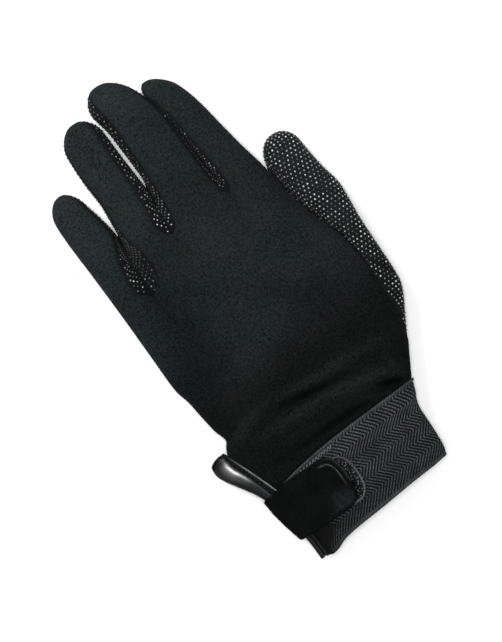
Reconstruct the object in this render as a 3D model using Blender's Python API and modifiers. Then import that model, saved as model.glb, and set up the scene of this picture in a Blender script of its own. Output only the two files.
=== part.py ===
# A riding glove for the left hand, lying on its palm: a stretch-jersey back, a dotted grip palm with
# finger side walls and thumb, a woven elastic cuff, and a hook-and-loop tab that closes the bound
# wrist vent on the little-finger side.
# Metres, +Z up, +Y towards the fingertips and +X towards the thumb. While it is made, X starts on the
# middle line of the hand and Y at the wrist line. At the end the glove is seated on the centre of its
# own box, on Z = 0.

import math
from collections import namedtuple

import bmesh
import bpy
from mathutils import Vector

# Driving dimensions

KNUCKLE_WIDTH = 0.0936
PALM_LENGTH = 0.118
HAND_THICKNESS = 0.021
WRIST_SLANT = 0.0026
WRIST_DROP = 0.0050
KNUCKLE_FADE = 0.028

CUFF_DEPTH = 0.038
CUFF_WIDTH = 0.0815
CUFF_HEIGHT = 0.014

INDEX_LENGTH = 0.0638
INDEX_WIDTH = 0.0185
MIDDLE_LENGTH = 0.0745
MIDDLE_WIDTH = 0.0255
RING_LENGTH = 0.0661
RING_WIDTH = 0.0215
LITTLE_LENGTH = 0.0422
LITTLE_WIDTH = 0.0185
FINGER_THICKNESS = 0.0145

THUMB_LENGTH = 0.0517
THUMB_WIDTH = 0.0195
THUMB_THICKNESS = 0.016
THUMB_FADE = 0.030

FABRIC_WALL = 0.0010
BAND_WALL = 0.0018
BINDING_WALL = 0.0014
PATCH_WALL = 0.0010
TAB_WALL = 0.0020

SEAM_GAP = 0.0003
LAY_GAP = 0.0003
PRESSED_FLAT = 0.0015

PIPING_WIDTH = 0.0012
FACING_WIDTH = 0.0100
TAB_DEPTH = 0.0266
TAB_REACH = 0.0395
TAB_ROOT = 0.0190
TAB_END_ROUND = 0.0090
PATCH_DEPTH = 0.0240
PATCH_REACH = 0.0450
PATCH_LENGTH = 0.0330
PATCH_END_ROUND = 0.0070

# Places that are shares of the sizes above

HALF_HAND = KNUCKLE_WIDTH / 2
HALF_CUFF = CUFF_WIDTH / 2
CUFF_LIFT = TAB_WALL + LAY_GAP
CUFF_TOP = CUFF_LIFT + CUFF_HEIGHT
SIDE_SHARE = 0.43
TIP_ROUND = 0.5
HAND_ROUND = 2.6
FINGER_ROUND = 2.3
TAB_ROUND = 3.2
PALM_SEAM_ANGLE = math.radians(50)
VENT_SHARE = 0.012
VENT_APEX = 0.243
THUMB_APEX = 0.137
THUMB_CROTCH = 0.625

# Rows of the mesh: shares from the wrist line to the crotch line, steps up a finger, angles of a tip

HAND_ROWS = [0, 0.07, THUMB_APEX, 0.19, VENT_APEX, 0.29, 0.36, 0.44, 0.53, THUMB_CROTCH,
             0.72, 0.81, 0.90, 1]
CUFF_ROWS = [1, 0.95, 0.75, 0.5, 0.28, 0.13]
FINGER_STEPS = [0.11, 0.22, 0.36, 0.51, 0.67, 0.84, 1]
TIP_ANGLES = [26, 49, 67, 80]
STEPS = len(FINGER_STEPS)
SIDE_COLUMNS = 4
SEAM_TAPER = [1, 0.92, 0.75, 0]
PALM_SEAM_START = [0, 0.35, 0.6, 0.85, 1]
CROTCH_INSET = 0.06

# The hand's outline. Along is a share of the palm's length above the wrist line and of the cuff's
# depth below it. Across is a share of half the hand's width, or of the cuff's below the wrist.

Edge = namedtuple("Edge", "along across")
LEFT_EDGE = [
    Edge(-1.20, -0.745),
    Edge(-0.90, -0.760),
    Edge(-0.55, -0.792),
    Edge(-0.21, -0.800),
    Edge(0.00, -0.815),
    Edge(0.055, -0.850),
    Edge(0.105, -0.905),
    Edge(0.150, -0.940),
    Edge(0.178, -0.890),
    Edge(0.205, -0.835),
    Edge(0.260, -0.872),
    Edge(0.347, -0.905),
    Edge(0.410, -0.925),
    Edge(0.475, -0.966),
    Edge(0.640, -0.978),
    Edge(0.820, -0.988),
    Edge(1.000, -1.004),
]
THUMB_SEAM = [
    Edge(-1.02, 0.990),
    Edge(-0.93, 1.026),
    Edge(-0.80, 1.044),
    Edge(-0.36, 1.054),
    Edge(-0.26, 1.062),
    Edge(-0.158, 1.078),
    Edge(0.00, 1.083),
    Edge(0.075, 1.155),
    Edge(0.144, 1.232),
    Edge(0.220, 1.270),
    Edge(0.347, 1.282),
    Edge(0.475, 1.282),
    Edge(0.600, 1.252),
    Edge(0.657, 1.203),
    Edge(0.754, 1.113),
    Edge(0.880, 1.043),
    Edge(1.000, 0.996),
    Edge(1.060, 0.966),
]
OUTER_EDGE = [
    Edge(0.144, 1.232),
    Edge(0.220, 1.331),
    Edge(0.300, 1.440),
    Edge(0.347, 1.479),
    Edge(0.475, 1.491),
    Edge(0.600, 1.494),
    Edge(0.657, 1.500),
    Edge(0.754, 1.515),
]
Crown = namedtuple("Crown", "along height")
HAND_CROWN = [
    Crown(0.00, 0.80),
    Crown(0.15, 0.88),
    Crown(0.35, 0.98),
    Crown(0.55, 1.00),
    Crown(0.75, 0.97),
    Crown(1.00, 0.90),
]

# Where two fingers part: across is a share of the width at the wrist, back and palm are how far the
# back's and the palm's crotch lie above the knuckle line, as shares of the palm's length

Crotch = namedtuple("Crotch", "across back palm")
CROTCHES = [
    Crotch(0.00, -0.05, -0.05),
    Crotch(0.23, -0.17, 0.09),
    Crotch(0.48, -0.01, 0.186),
    Crotch(0.75, 0.00, 0.16),
    Crotch(1.00, 0.05, 0.05),
]

# Finger sections. Along is a share of the finger's length from the knuckle line. Left and right are
# the outline beside the finger's own line, and the shows are how much of the side wall is seen past
# the back's seam, all as shares of the finger's width. Height is a share of the finger thickness.

Section = namedtuple("Section", "along left right left_show right_show height")
LITTLE_SECTIONS = [
    Section(-0.48, -0.481, 0.432, 0, 0.05, 1.15),
    Section(-0.24, -0.503, 0.476, 0, 0.33, 1.15),
    Section(0.00, -0.514, 0.503, 0, 0.28, 1.12),
    Section(0.20, -0.535, 0.514, 0, 0.12, 1.06),
    Section(0.33, -0.551, 0.530, 0, 0.08, 1.03),
    Section(0.545, -0.568, 0.459, 0, 0.07, 1.00),
    Section(0.76, -0.568, 0.357, 0, 0.06, 0.97),
    Section(1.00, -0.486, 0.270, 0, 0.05, 0.93),
]
RING_SECTIONS = [
    Section(-0.30, -0.623, 0.488, 0.05, 0.05, 1.15),
    Section(-0.15, -0.585, 0.488, 0.31, 0.05, 1.14),
    Section(0.00, -0.560, 0.488, 0.25, 0.05, 1.12),
    Section(0.10, -0.545, 0.500, 0.13, 0.25, 1.08),
    Section(0.21, -0.516, 0.520, 0.07, 0.28, 1.03),
    Section(0.42, -0.465, 0.507, 0.05, 0.22, 1.00),
    Section(0.61, -0.500, 0.484, 0.05, 0.19, 0.97),
    Section(0.82, -0.500, 0.465, 0.05, 0.15, 0.95),
    Section(1.00, -0.437, 0.470, 0.05, 0.13, 0.92),
]
MIDDLE_SECTIONS = [
    Section(-0.02, -0.592, 0.616, 0.04, 0.03, 1.13),
    Section(0.07, -0.565, 0.580, 0.10, 0.07, 1.10),
    Section(0.19, -0.535, 0.541, 0.13, 0.07, 1.05),
    Section(0.376, -0.505, 0.525, 0.125, 0.08, 1.00),
    Section(0.577, -0.522, 0.476, 0.145, 0.06, 0.97),
    Section(0.725, -0.561, 0.390, 0.17, 0.05, 0.95),
    Section(0.85, -0.639, 0.252, 0.20, 0.04, 0.93),
    Section(1.00, -0.706, 0.137, 0.20, 0.03, 0.90),
]
INDEX_SECTIONS = [
    Section(-0.02, -0.497, 0.578, 0.05, 0, 1.12),
    Section(0.06, -0.535, 0.530, 0.15, 0, 1.10),
    Section(0.22, -0.575, 0.422, 0.17, 0, 1.05),
    Section(0.44, -0.600, 0.292, 0.11, 0, 1.00),
    Section(0.67, -0.665, 0.173, 0.08, 0, 0.97),
    Section(0.84, -0.775, 0.011, 0.07, 0, 0.94),
    Section(1.00, -0.920, -0.281, 0.06, 0, 0.90),
]
THUMB_SECTIONS = [
    Section(0.00, -0.190, 0.523, 0, 0, 1.00),
    Section(0.126, -0.256, 0.554, 0, 0, 1.02),
    Section(0.32, -0.410, 0.569, 0, 0, 1.02),
    Section(0.51, -0.490, 0.462, 0, 0, 1.00),
    Section(0.71, -0.560, 0.395, 0, 0, 0.97),
    Section(1.00, -0.595, 0.349, 0, 0, 0.90),
]
THUMB_LINE = 1.282
THUMB_SEAM_OPEN = [0, 0.18, 0.32, 0.42, 0.50, 0.50, 0.50, 0.45]

# Soft folds of the jersey above the cuff. Across and along place the middle as in the outline, length
# and width are shares of half the hand's width, turn is in degrees and lift a share of the thickness.

Fold = namedtuple("Fold", "across along length width turn lift")
FOLDS = [
    Fold(-0.05, 0.165, 0.80, 0.10, -3, 0.060),
    Fold(0.10, 0.085, 0.70, 0.09, -2, -0.045),
    Fold(0.82, 0.075, 0.30, 0.07, -38, 0.055),
    Fold(0.42, 0.040, 0.36, 0.06, -14, 0.040),
    Fold(-0.72, 0.215, 0.22, 0.07, 24, 0.050),
]

# Width of the leather facing past the vent's palm edge, from the top of the vent to the cuff's hem

Facing = namedtuple("Facing", "along width")
FACINGS = [
    Facing(0.00, 0.60),
    Facing(0.07, 0.92),
    Facing(0.15, 1.00),
    Facing(0.25, 0.92),
    Facing(0.35, 0.76),
    Facing(0.45, 0.54),
    Facing(0.54, 0.42),
    Facing(0.82, 0.31),
    Facing(1.00, 0.33),
]


def mix(low, high, share):
    return low + (high - low) * share


def smooth(low, high, value):
    """Rises from 0 at low to 1 at high with level ends."""
    share = min(1.0, max(0.0, (value - low) / (high - low)))
    return share * share * (3 - 2 * share)


def read(table, column, at):
    """One column of a table at a place between its rows, on a smooth curve through them."""
    places = [row.along for row in table]
    values = [getattr(row, column) for row in table]
    if at <= places[0]:
        return values[0]
    if at >= places[-1]:
        return values[-1]
    low = max(n for n in range(len(places) - 1) if places[n] <= at)

    def slope(n):
        before, after = max(n - 1, 0), min(n + 1, len(places) - 1)
        return (values[after] - values[before]) / (places[after] - places[before])

    span = places[low + 1] - places[low]
    share = (at - places[low]) / span
    start = (1 + 2 * share) * (1 - share) ** 2 * values[low]
    end = share * share * (3 - 2 * share) * values[low + 1]
    bend = share * (1 - share) ** 2 * slope(low) - share * share * (1 - share) * slope(low + 1)
    return start + end + bend * span


def arch(share, roundness):
    """Height of a rounded arch, from 0 at its feet to 1 on top, at a share of its width."""
    return max(0.0, 1 - abs(2 * share - 1) ** roundness) ** (1 / roundness)


def rounded(value, roundness):
    """Cosine or sine of an angle, bent so that a circle becomes a rounder or squarer oval."""
    return math.copysign(abs(value) ** (2 / roundness), value)


def station(y):
    """Share of the palm's length above the wrist line, or of the cuff's depth below it."""
    return y / PALM_LENGTH if y >= 0 else y / CUFF_DEPTH


def half_width(y):
    """Half the hand's width, passing smoothly into half the cuff's at the wrist."""
    return mix(HALF_CUFF, HALF_HAND, smooth(-0.35, 0.25, station(y)))


def left_edge(y):
    return read(LEFT_EDGE, "across", station(y)) * half_width(y)


def thumb_seam(y):
    return read(THUMB_SEAM, "across", station(y)) * half_width(y)


def outer_edge(y):
    if station(y) <= OUTER_EDGE[0].along:
        return thumb_seam(y)
    return max(thumb_seam(y), read(OUTER_EDGE, "across", station(y)) * half_width(y))


def floor_height(y):
    """Underside of the hand: on the floor, and at the cuff raised by the tab that lies under it."""
    return CUFF_LIFT * (1 - smooth(0, 0.25, station(y)))


def crown_height(y):
    hand = HAND_THICKNESS * read(HAND_CROWN, "height", station(y))
    return mix(CUFF_TOP, hand, smooth(-0.30, 0.20, station(y)))


def side_height(y):
    return mix(floor_height(y), crown_height(y), SIDE_SHARE)


def loop_height(x, left, right, side, far, floor, roundness):
    """Top or underside of a rounded loop of cloth: far is how high or low its middle reaches."""
    share = min(1.0, max(0.0, (x - left) / max(right - left, 1e-6)))
    if far > side:
        return side + (far - side) * arch(share, roundness)
    return max(floor, side - (side - far + PRESSED_FLAT) * arch(share, roundness))


def wrist_line(share):
    """Y of the seam between hand and cuff at a share of the width, lower on the little-finger side."""
    return -WRIST_SLANT * (1 - share) - WRIST_DROP * (1 - share) ** 4


def crotch_line(number, face):
    crotch = CROTCHES[number]
    return PALM_LENGTH * (1 + getattr(crotch, face))


THUMB_CROTCH_Y = mix(wrist_line(1), crotch_line(4, "back"), THUMB_CROTCH)
THUMB_CROTCH_X = thumb_seam(THUMB_CROTCH_Y)


def fold_height(x, y):
    """Height that the folds above the cuff add to the jersey at a point."""
    height = 0
    for fold in FOLDS:
        turn = math.radians(fold.turn)
        dx = x - fold.across * HALF_HAND
        dy = y - fold.along * PALM_LENGTH
        run = (dx * math.cos(turn) + dy * math.sin(turn)) / (fold.length * HALF_HAND)
        side = (dy * math.cos(turn) - dx * math.sin(turn)) / (fold.width * HALF_HAND)
        height += fold.lift * HAND_THICKNESS * math.exp(-run * run - side * side)
    return height * smooth(-0.02, 0.04, station(y))


def hand_height(x, y, face):
    """Height of the hand's back or palm, whose thumb side closes on itself above the thumb's crotch."""
    side, floor = side_height(y), floor_height(y)
    far = crown_height(y) if face == "back" else floor
    left, seam, outer = left_edge(y), thumb_seam(y), outer_edge(y)
    alone = smooth(THUMB_CROTCH_Y - THUMB_FADE, THUMB_CROTCH_Y, y)
    joined = loop_height(x, left, outer, side, far, floor, HAND_ROUND)
    if x <= seam + 1e-6:
        parted = loop_height(x, left, seam, side, far, floor, HAND_ROUND)
    else:
        far = THUMB_THICKNESS if face == "back" else floor
        parted = loop_height(x, seam, outer, side, far, floor, FINGER_ROUND)
    height = mix(joined, parted, alone)
    return height + fold_height(x, y) if face == "back" else height


class Finger:
    """One finger: an oval tube on its table of sections, with a rounded tip."""

    def __init__(self, name, line, width, length, base, thickness, sections):
        self.name = name
        self.line = line
        self.width = width
        self.length = length
        self.base = base
        self.thickness = thickness
        self.sections = sections
        self.tip_round = TIP_ROUND * width
        self.tip_start = base + length - self.tip_round

    def column(self, name, y):
        return read(self.sections, name, (y - self.base) / self.length)

    def tip_scale(self, y):
        share = min(1.0, max(0.0, (y - self.tip_start) / self.tip_round))
        return (1 - share * share) ** 0.45

    def outline(self, y):
        left = self.line + self.column("left", y) * self.width
        right = self.line + self.column("right", y) * self.width
        middle, half = (left + right) / 2, (right - left) / 2 * self.tip_scale(y)
        return middle - half, middle + half

    def side(self, y):
        return SIDE_SHARE * self.thickness * self.column("height", y)

    def height(self, share, y, face):
        """Height of the back or underside at a share of the width, from one side to the other."""
        far = self.thickness * self.column("height", y) if face == "back" else 0.0
        return loop_height(share, 0, 1, self.side(y), far, 0.0, FINGER_ROUND)

    def point(self, y, angle):
        """Point on the section at y, its angle counted from the +X side over the top."""
        left, right = self.outline(y)
        side = self.side(y)
        scale = self.tip_scale(y) ** 0.9
        top = (self.thickness * self.column("height", y) - side) * scale
        bottom = (side + PRESSED_FLAT) * scale
        x = (left + right) / 2 + (right - left) / 2 * rounded(math.cos(angle), FINGER_ROUND)
        lift = rounded(math.sin(angle), FINGER_ROUND)
        z = side + (top if lift > 0 else bottom) * lift
        return Vector((x, y, max(z, 0.0)))

    def seam_angle(self, y, hand_side):
        """Angle from the finger's side up to the back's seam, from how much side wall shows."""
        left, right = self.outline(y)
        show = self.column(hand_side + "_show", y) * self.width * self.tip_scale(y)
        share = max(0.0, 1 - 2 * show / max(right - left, 1e-6))
        return math.acos(share ** (FINGER_ROUND / 2))

    def step_y(self, base, step):
        """Y of a seam on a row: even steps from its crotch to the tip, then round the tip."""
        if step <= STEPS:
            return mix(base, self.tip_start, FINGER_STEPS[step - 1])
        angle = math.radians(TIP_ANGLES[step - STEPS - 1])
        return self.tip_start + self.tip_round * math.sin(angle)


FINGERS = [
    Finger("little", -0.801 * HALF_HAND, LITTLE_WIDTH, LITTLE_LENGTH, PALM_LENGTH,
           FINGER_THICKNESS, LITTLE_SECTIONS),
    Finger("ring", -0.331 * HALF_HAND, RING_WIDTH, RING_LENGTH, PALM_LENGTH,
           FINGER_THICKNESS, RING_SECTIONS),
    Finger("middle", 0.224 * HALF_HAND, MIDDLE_WIDTH, MIDDLE_LENGTH, PALM_LENGTH,
           FINGER_THICKNESS, MIDDLE_SECTIONS),
    Finger("index", 0.769 * HALF_HAND, INDEX_WIDTH, INDEX_LENGTH, PALM_LENGTH,
           FINGER_THICKNESS, INDEX_SECTIONS),
]
THUMB = Finger("thumb", THUMB_LINE * HALF_HAND, THUMB_WIDTH, THUMB_LENGTH, THUMB_CROTCH_Y,
               THUMB_THICKNESS, THUMB_SECTIONS)
FINGER_TOP = STEPS + len(TIP_ANGLES)
FOURCHETTE_TOP = STEPS + len(SEAM_TAPER) - 1

# Shares of a finger's strip at which its columns run, closer together at the hand's outer sides
STRIP_COLUMNS = [
    [0, 0.06, 0.24, 0.50, 0.76, 1],
    [0, 0.2, 0.4, 0.6, 0.8, 1],
    [0, 0.2, 0.4, 0.6, 0.8, 1],
    [0, 0.24, 0.50, 0.76, 0.94, 1],
]
COLUMNS = len(STRIP_COLUMNS[0]) - 1
LAST_COLUMN = COLUMNS * len(FINGERS)
THUMB_COLUMNS = 8
GAP_NAMES = ["fourchette_ring_little", "fourchette_middle_ring", "fourchette_index_middle"]


def crotch_point_x(number, face):
    """X of a crotch: half way between the seams of its two fingers."""
    y = crotch_line(number, face)
    if number == 0:
        return left_edge(y)
    if number == len(FINGERS):
        return thumb_seam(y)
    before, after = FINGERS[number - 1], FINGERS[number]
    right = before.outline(y)[1] - before.column("right_show", y) * before.width
    left = after.outline(y)[0] + after.column("left_show", y) * after.width
    return (left + right) / 2


def strip_place(column):
    """Which finger's strip a column of the hand lies in, and its share across that strip."""
    strip = min(column // COLUMNS, len(FINGERS) - 1)
    return strip, STRIP_COLUMNS[strip][column - strip * COLUMNS]


def hand_y(row_share, column, face):
    strip, share = strip_place(column)
    across = mix(CROTCHES[strip].across, CROTCHES[strip + 1].across, share)
    top = mix(crotch_line(strip, face), crotch_line(strip + 1, face), share)
    return mix(wrist_line(across), top, row_share)


def boundary_x(number, row_share, face):
    """X of the line between two finger strips, from the wrist line to the crotch."""
    column = number * COLUMNS
    y = hand_y(row_share, column, face)
    if number == 0:
        open_share = smooth(VENT_APEX, VENT_APEX - 0.05, row_share)
        return mix(left_edge(y), outer_edge(y), VENT_SHARE * open_share)
    if number == len(FINGERS):
        return thumb_seam(y)
    wrist_y = wrist_line(CROTCHES[number].across)
    low = mix(left_edge(wrist_y), thumb_seam(wrist_y), CROTCHES[number].across)
    return mix(low, crotch_point_x(number, face), row_share)


def strip_height(x, y, top, strip, share, face):
    """Height of the hand in a finger's strip, turning into the finger's own form at the crotch."""
    finger_share = smooth(top - KNUCKLE_FADE, top, y)
    left = 0 if strip == 0 else CROTCH_INSET
    right = 1 if strip == len(FINGERS) - 1 else 1 - CROTCH_INSET
    finger = FINGERS[strip].height(mix(left, right, share), y, face)
    return mix(hand_height(x, y, face), finger, finger_share)


def hand_point(row_share, column, face):
    """Point on the hand's back or palm at a row and a column."""
    strip, share = strip_place(column)
    y = hand_y(row_share, column, face)
    top = hand_y(1, column, face)
    x = mix(boundary_x(strip, row_share, face), boundary_x(strip + 1, row_share, face), share)
    height = strip_height(x, y, top, strip, share, face)
    if share == 0 and strip > 0:
        height = (height + strip_height(x, y, top, strip - 1, 1, face)) / 2
    return Vector((x, y, height))


def cuff_point(depth_share, column, face):
    """Point on the cuff: the same columns as the hand's, below the wrist line."""
    strip, share = strip_place(column)
    across = mix(CROTCHES[strip].across, CROTCHES[strip + 1].across, share)
    y = wrist_line(across) - depth_share * CUFF_DEPTH
    left = mix(left_edge(y), thumb_seam(y), VENT_SHARE)
    x = mix(left, thumb_seam(y), across)
    return Vector((x, y, hand_height(x, y, face)))


class Skin:
    """The glove's outer surface as one joined mesh, each face marked with the panel it is cut for."""

    def __init__(self):
        self.mesh = bmesh.new()
        self.verts = {}
        self.panels = {}

    def vert(self, key, point):
        if key not in self.verts:
            self.verts[key] = self.mesh.verts.new(point)
        return self.verts[key]

    def face(self, panel, corners):
        ring = [corner for n, corner in enumerate(corners) if corner is not corners[n - 1]]
        if len(ring) >= 3:
            self.panels.setdefault(panel, []).append(self.mesh.faces.new(ring))

    def strip(self, panel, lower, upper):
        """Faces between two rows of corners, outward on the right of the rows' own direction."""
        for n in range(len(lower) - 1):
            self.face(panel, [lower[n], lower[n + 1], upper[n + 1], upper[n]])


def in_thumb_rows(row_share):
    return THUMB_APEX < row_share < THUMB_CROTCH


def hand_row(skin, number, place, row_share, face):
    """Corners of one row of the hand or cuff, the palm's shared with the back's at the side seams."""
    corners = []
    for column in range(LAST_COLUMN + 1):
        own = face
        if column == 0 and row_share >= VENT_APEX:
            own = "back"
        if column == LAST_COLUMN and not in_thumb_rows(row_share):
            own = "back"
        corners.append(skin.vert((own, number, column), place(column, face)))
    return corners


def thumb_side(skin, number, row_share, seam_top, seam_bottom):
    """Corners of the thumb's side of a hand row, from the back's seam round to the palm's."""
    y = seam_top.co.y
    seam, outer = seam_top.co.x, outer_edge(y)
    corners = [seam_top]
    for n in range(1, THUMB_COLUMNS):
        turn = abs(1 - 2 * n / THUMB_COLUMNS) * math.pi / 2
        x = outer - (outer - seam) * (1 - math.cos(turn))
        face = "back" if n <= THUMB_COLUMNS / 2 else "palm"
        if n == THUMB_COLUMNS / 2:
            height = side_height(y)
        else:
            height = hand_height(max(x, seam + 1e-5), y, face)
        corners.append(skin.vert(("thumb_side", number, n), Vector((x, y, height))))
    return corners + [seam_bottom]


def build_hand(skin):
    """Cuff and hand rows, with the thumb's side strip. Returns the top rows of back and palm."""
    rows = {"back": [], "palm": []}
    for face in rows:
        for number, depth in enumerate(CUFF_ROWS):
            place = lambda column, side, depth=depth: cuff_point(depth, column, side)
            rows[face].append(hand_row(skin, number, place, 0, face))
        for number, share in enumerate(HAND_ROWS):
            place = lambda column, side, share=share: hand_point(share, column, side)
            rows[face].append(hand_row(skin, number + len(CUFF_ROWS), place, share, face))

    for number in range(len(rows["back"]) - 1):
        in_cuff = number < len(CUFF_ROWS)
        skin.strip("cuff_band" if in_cuff else "back_panel", rows["back"][number], rows["back"][number + 1])
        skin.strip("cuff_band" if in_cuff else "palm_panel", rows["palm"][number][::-1],
                   rows["palm"][number + 1][::-1])

    first, last = HAND_ROWS.index(THUMB_APEX), HAND_ROWS.index(THUMB_CROTCH)
    sides = []
    for n in range(first, last + 1):
        number = n + len(CUFF_ROWS)
        top, bottom = rows["back"][number][-1], rows["palm"][number][-1]
        if n == first:
            sides.append([top] * (THUMB_COLUMNS + 1))
        else:
            sides.append(thumb_side(skin, number, HAND_ROWS[n], top, bottom))
    for lower, upper in zip(sides, sides[1:]):
        skin.strip("thumb", lower, upper)
    return rows, sides[-1]


def finger_row(skin, number, step):
    """Corners round a finger at a step: top, right, bottom and left lists that share their ends."""
    finger = FINGERS[number]
    taper = 1 if step <= STEPS else SEAM_TAPER[min(step - STEPS, len(SEAM_TAPER) - 1)]
    seams = {}
    for side, crotch in (("left", number), ("right", number + 1)):
        plain = (side == "left" and number == 0) or (side == "right" and number == len(FINGERS) - 1)
        for face in ("back", "palm"):
            y = finger.step_y(crotch_line(crotch, face), step)
            low = PALM_SEAM_ANGLE * PALM_SEAM_START[min(step, len(PALM_SEAM_START) - 1)]
            raised = finger.seam_angle(y, side) if face == "back" else -low
            angle = 0.0 if plain else raised * taper
            seams[side, face] = (y, angle if side == "right" else math.pi - angle)

    def arc(key, start, end, count):
        """Corners between two seams. Their ends are shared by name with the neighbouring arcs."""
        corners = []
        for n in range(count + 1):
            y = mix(start[1][0], end[1][0], n / count)
            angle = mix(start[1][1], end[1][1], n / count)
            name = {0: start[0], count: end[0]}.get(n, (key, n))
            corners.append(skin.vert((finger.name, step, name), finger.point(y, angle)))
        return corners

    def corner(side, face):
        y, angle = seams[side, face]
        merged = abs(seams[side, "back"][1] - seams[side, "palm"][1]) < 1e-9
        name = (side, "side" if merged else face)
        return name, (y, angle)

    def turned(item):
        """The same corner with its angle counted through the underside."""
        name, (y, angle) = item
        return name, (y, angle if angle <= 0 else angle - 2 * math.pi)

    top = arc("top", corner("left", "back"), corner("right", "back"), COLUMNS)
    bottom = arc("bottom", turned(corner("left", "palm")), corner("right", "palm"), COLUMNS)
    right, left = [top[-1]], [top[0]]
    if top[-1] is not bottom[-1]:
        right = arc("right", corner("right", "back"), corner("right", "palm"), SIDE_COLUMNS)
    if top[0] is not bottom[0]:
        left = arc("left", corner("left", "back"), corner("left", "palm"), SIDE_COLUMNS)
    return top, right, bottom, left


def web_row(skin, number, top_corner, bottom_corner):
    """Corners of the web between two fingers, from the back's crotch to the palm's."""
    before, after = FINGERS[number - 1], FINGERS[number]
    corners = [top_corner]
    for n in range(1, SIDE_COLUMNS):
        share = n / SIDE_COLUMNS
        y = mix(top_corner.co.y, bottom_corner.co.y, share)
        rise = before.seam_angle(top_corner.co.y, "right")
        angle = mix(rise, -PALM_SEAM_ANGLE * PALM_SEAM_START[1], share)
        point = (before.point(y, angle) + after.point(y, math.pi - angle)) / 2
        corners.append(skin.vert(("web", number, n), point))
    return corners + [bottom_corner]


def padded(corners, count):
    """A side that has run together into one corner, repeated so that it meets a full one."""
    return corners if len(corners) == count + 1 else [corners[0]] * (count + 1)


def build_fingers(skin, top_back, top_palm):
    webs = {}
    for number in range(1, len(FINGERS)):
        column = number * COLUMNS
        webs[number] = web_row(skin, number, top_back[column], top_palm[column])
    for number, finger in enumerate(FINGERS):
        span = slice(number * COLUMNS, (number + 1) * COLUMNS + 1)
        top, bottom = top_back[span], top_palm[span]
        right = webs.get(number + 1, [top[-1]])
        left = webs.get(number, [top[0]])
        for step in range(1, FINGER_TOP + 1):
            rows = finger_row(skin, number, step)
            skin.strip("back_panel", top, rows[0])
            skin.strip("palm_panel", bottom[::-1], rows[2][::-1])
            if number < len(FINGERS) - 1 and step <= FOURCHETTE_TOP:
                skin.strip(GAP_NAMES[number], padded(right, SIDE_COLUMNS), padded(rows[1], SIDE_COLUMNS))
            if number > 0 and step <= FOURCHETTE_TOP:
                skin.strip(GAP_NAMES[number - 1], padded(left, SIDE_COLUMNS)[::-1],
                           padded(rows[3], SIDE_COLUMNS)[::-1])
            top, right, bottom, left = rows
        close_tip(skin, finger, "back_panel", top)
        close_tip(skin, finger, "palm_panel", bottom[::-1])


def close_tip(skin, finger, panel, corners):
    y = finger.base + finger.length
    left, right = finger.outline(y)
    pole = skin.vert((finger.name, "pole"), Vector(((left + right) / 2, y, finger.side(y))))
    skin.strip(panel, corners, [pole] * len(corners))


def build_thumb(skin, crotch_side):
    """The thumb's tube above its crotch: outer columns round from the seams, inner ones between."""
    outer = crotch_side
    inner = [crotch_side[0]] * (SIDE_COLUMNS + 1)
    for step in range(1, FINGER_TOP + 1):
        y = THUMB.step_y(THUMB.base, step)
        opened = THUMB_SEAM_OPEN[min(step, len(THUMB_SEAM_OPEN) - 1)]
        hand_share = 1 - smooth(0, 0.5, (y - THUMB.base) / THUMB.length)
        lift = (side_height(THUMB_CROTCH_Y) - THUMB.side(y)) * hand_share

        def corner(key, angle):
            point = THUMB.point(y, angle)
            point.z = max(0.0, point.z + lift * (1 - abs(math.sin(angle))))
            return skin.vert(("thumb", step, key), point)

        seam = math.pi * (1 - opened / 2)
        new_outer = [corner(("outer", n), mix(seam, -seam, n / THUMB_COLUMNS))
                     for n in range(THUMB_COLUMNS + 1)]
        new_inner = [new_outer[0]]
        for n in range(1, SIDE_COLUMNS):
            new_inner.append(corner(("inner", n), mix(seam, 2 * math.pi - seam, n / SIDE_COLUMNS)))
        new_inner.append(new_outer[-1])
        skin.strip("thumb", outer, new_outer)
        skin.strip("thumb", inner[::-1], new_inner[::-1])
        outer, inner = new_outer, new_inner
    close_tip(skin, THUMB, "thumb", outer)
    close_tip(skin, THUMB, "thumb", inner[::-1])


def border(faces):
    """Directed edges of a panel that belong to one of its faces only, with that face."""
    seen = {}
    for face in faces:
        corners = list(face.verts)
        for n, corner in enumerate(corners):
            seen[corners[n - 1], corner] = face
    return {edge: face for edge, face in seen.items() if edge[::-1] not in seen}


def seam_pull(edges):
    """How far each border corner moves into its panel, so that the seam stays half a gap away."""
    pulls = {}
    for (start, end), face in edges.items():
        inward = face.normal.cross(end.co - start.co).normalized()
        for corner in (start, end):
            pulls.setdefault(corner, []).append(inward)
    moves = {}
    for corner, inwards in pulls.items():
        total = sum(inwards, Vector())
        reach = max(total.length_squared, 0.8)
        moves[corner] = total * (2 if len(inwards) > 1 else 1) / reach * SEAM_GAP / 2
    return moves


def cut_panel(skin, name, wall):
    """One panel of the skin as a closed wall: its outer face, its inner face and the rim."""
    faces = skin.panels[name]
    edges = border(faces)
    moves = seam_pull(edges)
    corners = list({corner: None for face in faces for corner in face.verts})
    index = {corner: n for n, corner in enumerate(corners)}
    outer = [corner.co + moves.get(corner, Vector()) for corner in corners]
    for point in outer:
        point.z = max(point.z, 0.0)
    inner = [point - corner.normal * wall for point, corner in zip(outer, corners)]
    count = len(corners)
    polygons = []
    for face in faces:
        ring = [index[corner] for corner in face.verts]
        polygons.append(ring)
        polygons.append([n + count for n in reversed(ring)])
    for start, end in edges:
        a, b = index[start], index[end]
        if start.index < end.index:
            polygons += [[b, a, b + count], [a, a + count, b + count]]
        else:
            polygons += [[b, a, a + count], [b, a + count, b + count]]
    return new_part(name, outer + inner, polygons)


def new_part(name, points, polygons):
    mesh = bpy.data.meshes.new(name)
    mesh.from_pydata([tuple(point) for point in points], [], polygons)
    mesh.update()
    mesh.shade_smooth()
    mesh.set_sharp_from_angle(angle=math.radians(50))
    part = bpy.data.objects.new(name, mesh)
    parts.objects.link(part)
    return part


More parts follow.
